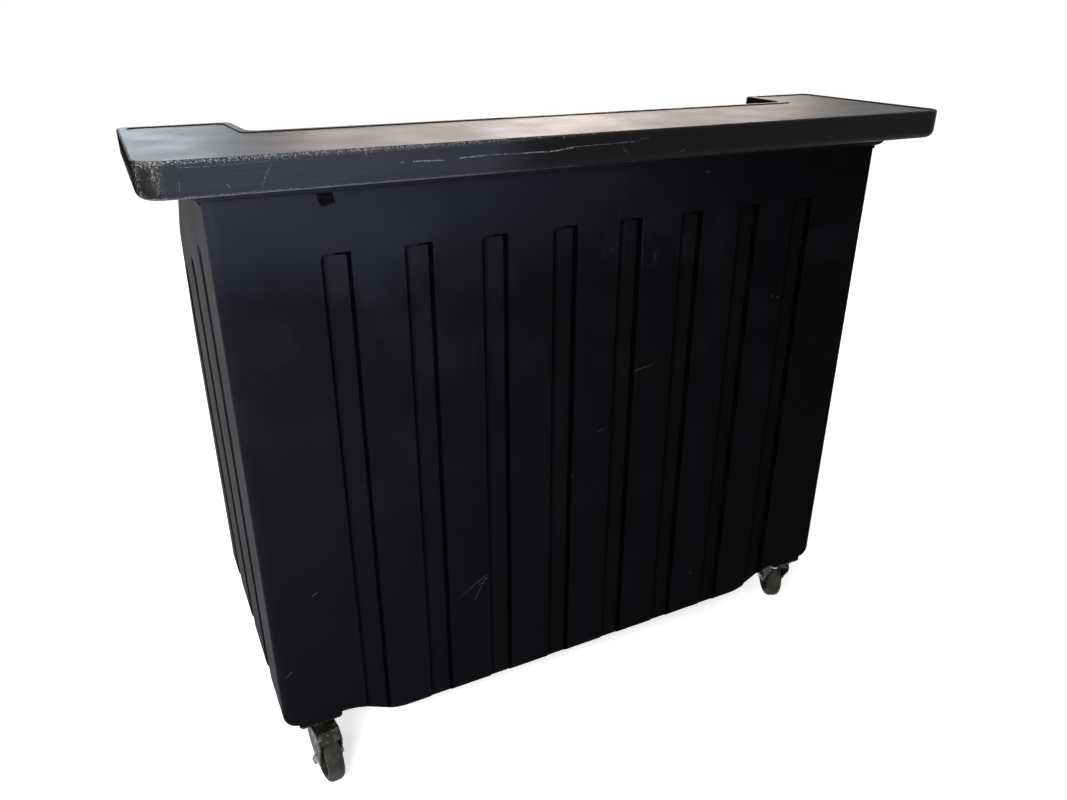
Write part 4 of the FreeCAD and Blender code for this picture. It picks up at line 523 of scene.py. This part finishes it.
clean_zinc = zinc_finish("zinc_plate", 0.0, zinc_bright, zinc_dull, rust_brown)
aged_zinc = zinc_finish("aged_zinc_plate", 0.12, aged_bright, aged_dull, grime_brown, 0.10)
worn_zinc = zinc_finish("worn_zinc_plate", 0.06, zinc_dull, worn_dull, grime_brown)
for name in ("counter_angles", "angle_screws", "deck_screws", "shelf_clips", "caster_bolts"):
    coat(name, clean_zinc)
corners = ("front_left", "front_right", "rear_left", "rear_right")
for corner in corners:
    for part in ("caster_plate", "king_bolt", "fork", "swivel_bearing", "axle", "bush",
                 "pedal_pin", "brake_pedal"):
        name = corner + "_" + part
        if name in nodes:
            coat(name, worn_zinc if part == "axle" else aged_zinc)

# Wheels: moulded cores of black nylon, each with a tyre of dark rubber moulded round it, dusty on
# the tread and greyed by floors.
tyre_black = (0.017, 0.0158, 0.0135, 1)
tyre_dusty = (0.046, 0.043, 0.037, 1)
nylon_black = (0.010, 0.009, 0.008, 1)
nylon_dusty = (0.036, 0.029, 0.021, 1)
tyre = Finish("tyre_rubber")
dust = tyre.step(tyre.noise(35, 5), 0.42, 0.66)
tyre_finish = tyre.finish(
    tyre.blend(dust, tyre_black, tyre_dusty),
    tyre.math("ADD", tyre.times(dust, 0.2), 0.62),
    tyre.math("ADD", tyre.times(tyre.noise(260, 4), 0.8), dust), 0.0004, specular=0.12)
nylon = Finish("wheel_nylon")
nylon_finish = nylon.finish(
    nylon.blend(nylon.step(nylon.noise(50, 4), 0.45, 0.7), nylon_black, nylon_dusty),
    nylon.math("ADD", nylon.times(nylon.noise(20), 0.2), 0.42), nylon.noise(500), 0.0002,
    specular=0.15)
for corner in corners:
    coat(corner + "_tyre", tyre_finish)
    coat(corner + "_wheel", nylon_finish)

# Studio: a plain pale floor and a white surround, seen as white by the camera and in every
# reflection, with soft lamps that light the bar at a plain level from the left and from behind.
white_seen = 1.0
ambient_strength = 0.20
floor_glow = 0.64
far_glow = 0.88
glow_near, glow_far = 1.4, 3.2
floor_grey = (0.86, 0.86, 0.86, 1)
floor_pale = (0.90, 0.90, 0.90, 1)
half_floor = 15.0
floor_mesh = bpy.data.meshes.new("floor")
floor_mesh.from_pydata([(-half_floor, -half_floor, 0), (half_floor, -half_floor, 0),
                        (half_floor, half_floor, 0), (-half_floor, half_floor, 0)],
                       [], [(0, 1, 2, 3)])
floor = bpy.data.objects.new("floor", floor_mesh)
bpy.context.scene.collection.objects.link(floor)


def shown_only(tree, plain, shown):
    """A strength for light that bounces, and another for what is looked at or reflected."""
    rays = tree.nodes.new("ShaderNodeLightPath").outputs
    total = rays["Is Camera Ray"]
    for ray in ("Is Glossy Ray", "Is Transmission Ray"):
        joined = tree.nodes.new("ShaderNodeMath")
        joined.operation = "MAXIMUM"
        tree.links.new(total, joined.inputs[0])
        tree.links.new(rays[ray], joined.inputs[1])
        total = joined.outputs[0]
    strength = tree.nodes.new("ShaderNodeMath")
    strength.operation = "MULTIPLY_ADD"
    tree.links.new(total, strength.inputs[0])
    strength.inputs[1].default_value = shown - plain
    strength.inputs[2].default_value = plain
    return strength.outputs[0]


floor_paint = Finish("pale_floor")
floor_mesh.materials.append(floor_paint.finish(
    floor_paint.blend(floor_paint.noise(3), floor_grey, floor_pale), 0.95, specular=0.0))
floor_paint.shader.inputs["Emission Color"].default_value = (1, 1, 1, 1)
outward = floor_paint.node("ShaderNodeVectorMath", Vector=floor_paint.place)
outward.operation = "LENGTH"
brighter_far_off = floor_paint.math(
    "ADD", floor_paint.times(floor_paint.step(outward.outputs["Value"], glow_near, glow_far),
                             far_glow / floor_glow - 1), 1)
floor_paint.feed(floor_paint.shader.inputs["Emission Strength"], floor_paint.times(
    brighter_far_off, shown_only(floor_paint.tree, 0, floor_glow)))

world = bpy.data.worlds.new("surround")
bpy.context.scene.world = world
world.use_nodes = True
surround = world.node_tree.nodes["Background"]
surround.inputs["Color"].default_value = (1, 1, 1, 1)
world.node_tree.links.new(shown_only(world.node_tree, ambient_strength, white_seen),
                          surround.inputs["Strength"])

lamps = (
    # name, place, aimed at, width, height, power, colour
    ("rear_glow", (2.25, 4.2, 2.0), (0.0, -0.1, 1.1), 0.9, 1.2, 22, (1.0, 0.80, 0.74)),
    ("rear_wide", (2.28, 4.3, 2.0), (0.0, -0.1, 1.1), 3.7, 1.2, 92, (1.0, 0.85, 0.78)),
    ("rear_window", (-0.45, 4.7, 2.1), (-0.6, -0.2, 1.1), 0.8, 1.2, 25, (0.84, 0.92, 1.0)),
    ("left_window", (-3.9, -1.6, 2.3), (-0.4, 0.0, 0.8), 2.2, 2.2, 46, (0.90, 0.95, 1.0)),
    ("front_lamp", (-1.15, -1.20, 1.15), (-0.5, -0.29, 0.95), 0.6, 0.6, 36, (0.88, 0.93, 1.0)),
    ("overhead", (-0.4, -0.6, 4.2), (0.0, 0.0, 1.0), 3.0, 3.0, 45, (1.0, 1.0, 1.0)),
)
for name, lamp_place, target, width, height, power, colour in lamps:
    lamp = bpy.data.lights.new(name, "AREA")
    lamp.shape = "RECTANGLE"
    lamp.size = width
    lamp.size_y = height
    lamp.energy = power
    lamp.color = colour
    holder = bpy.data.objects.new(name, lamp)
    bpy.context.scene.collection.objects.link(holder)
    holder.location = lamp_place
    aim = Vector(target) - Vector(lamp_place)
    holder.rotation_euler = aim.to_track_quat("-Z", "Y").to_euler()

# Camera: held at chest height in front of the bar's left half, a little over a metre from its
# front, and turned to look down across it to the right.
camera_place = Vector((-0.735, -1.4756, 1.3308))
camera_yaw, camera_pitch, camera_roll = 0.46542, 0.43388, 0.00367
sensor_width = 36
focal_share = 0.7936
ahead = Vector((math.sin(camera_yaw) * math.cos(camera_pitch),
                math.cos(camera_yaw) * math.cos(camera_pitch), -math.sin(camera_pitch)))
level = Vector((math.cos(camera_yaw), -math.sin(camera_yaw), 0))
above = level.cross(ahead)
right = level * math.cos(camera_roll) + above * math.sin(camera_roll)
up = above * math.cos(camera_roll) - level * math.sin(camera_roll)
lens = bpy.data.cameras.new("camera")
lens.sensor_width = sensor_width
lens.lens = sensor_width * focal_share
camera = bpy.data.objects.new("camera", lens)
bpy.context.scene.collection.objects.link(camera)
camera.matrix_world = Matrix.Translation(camera_place) @ Matrix(
    (right, up, -ahead)).transposed().to_4x4()
bpy.context.scene.camera = camera
bpy.context.scene.view_settings.view_transform = "Standard"
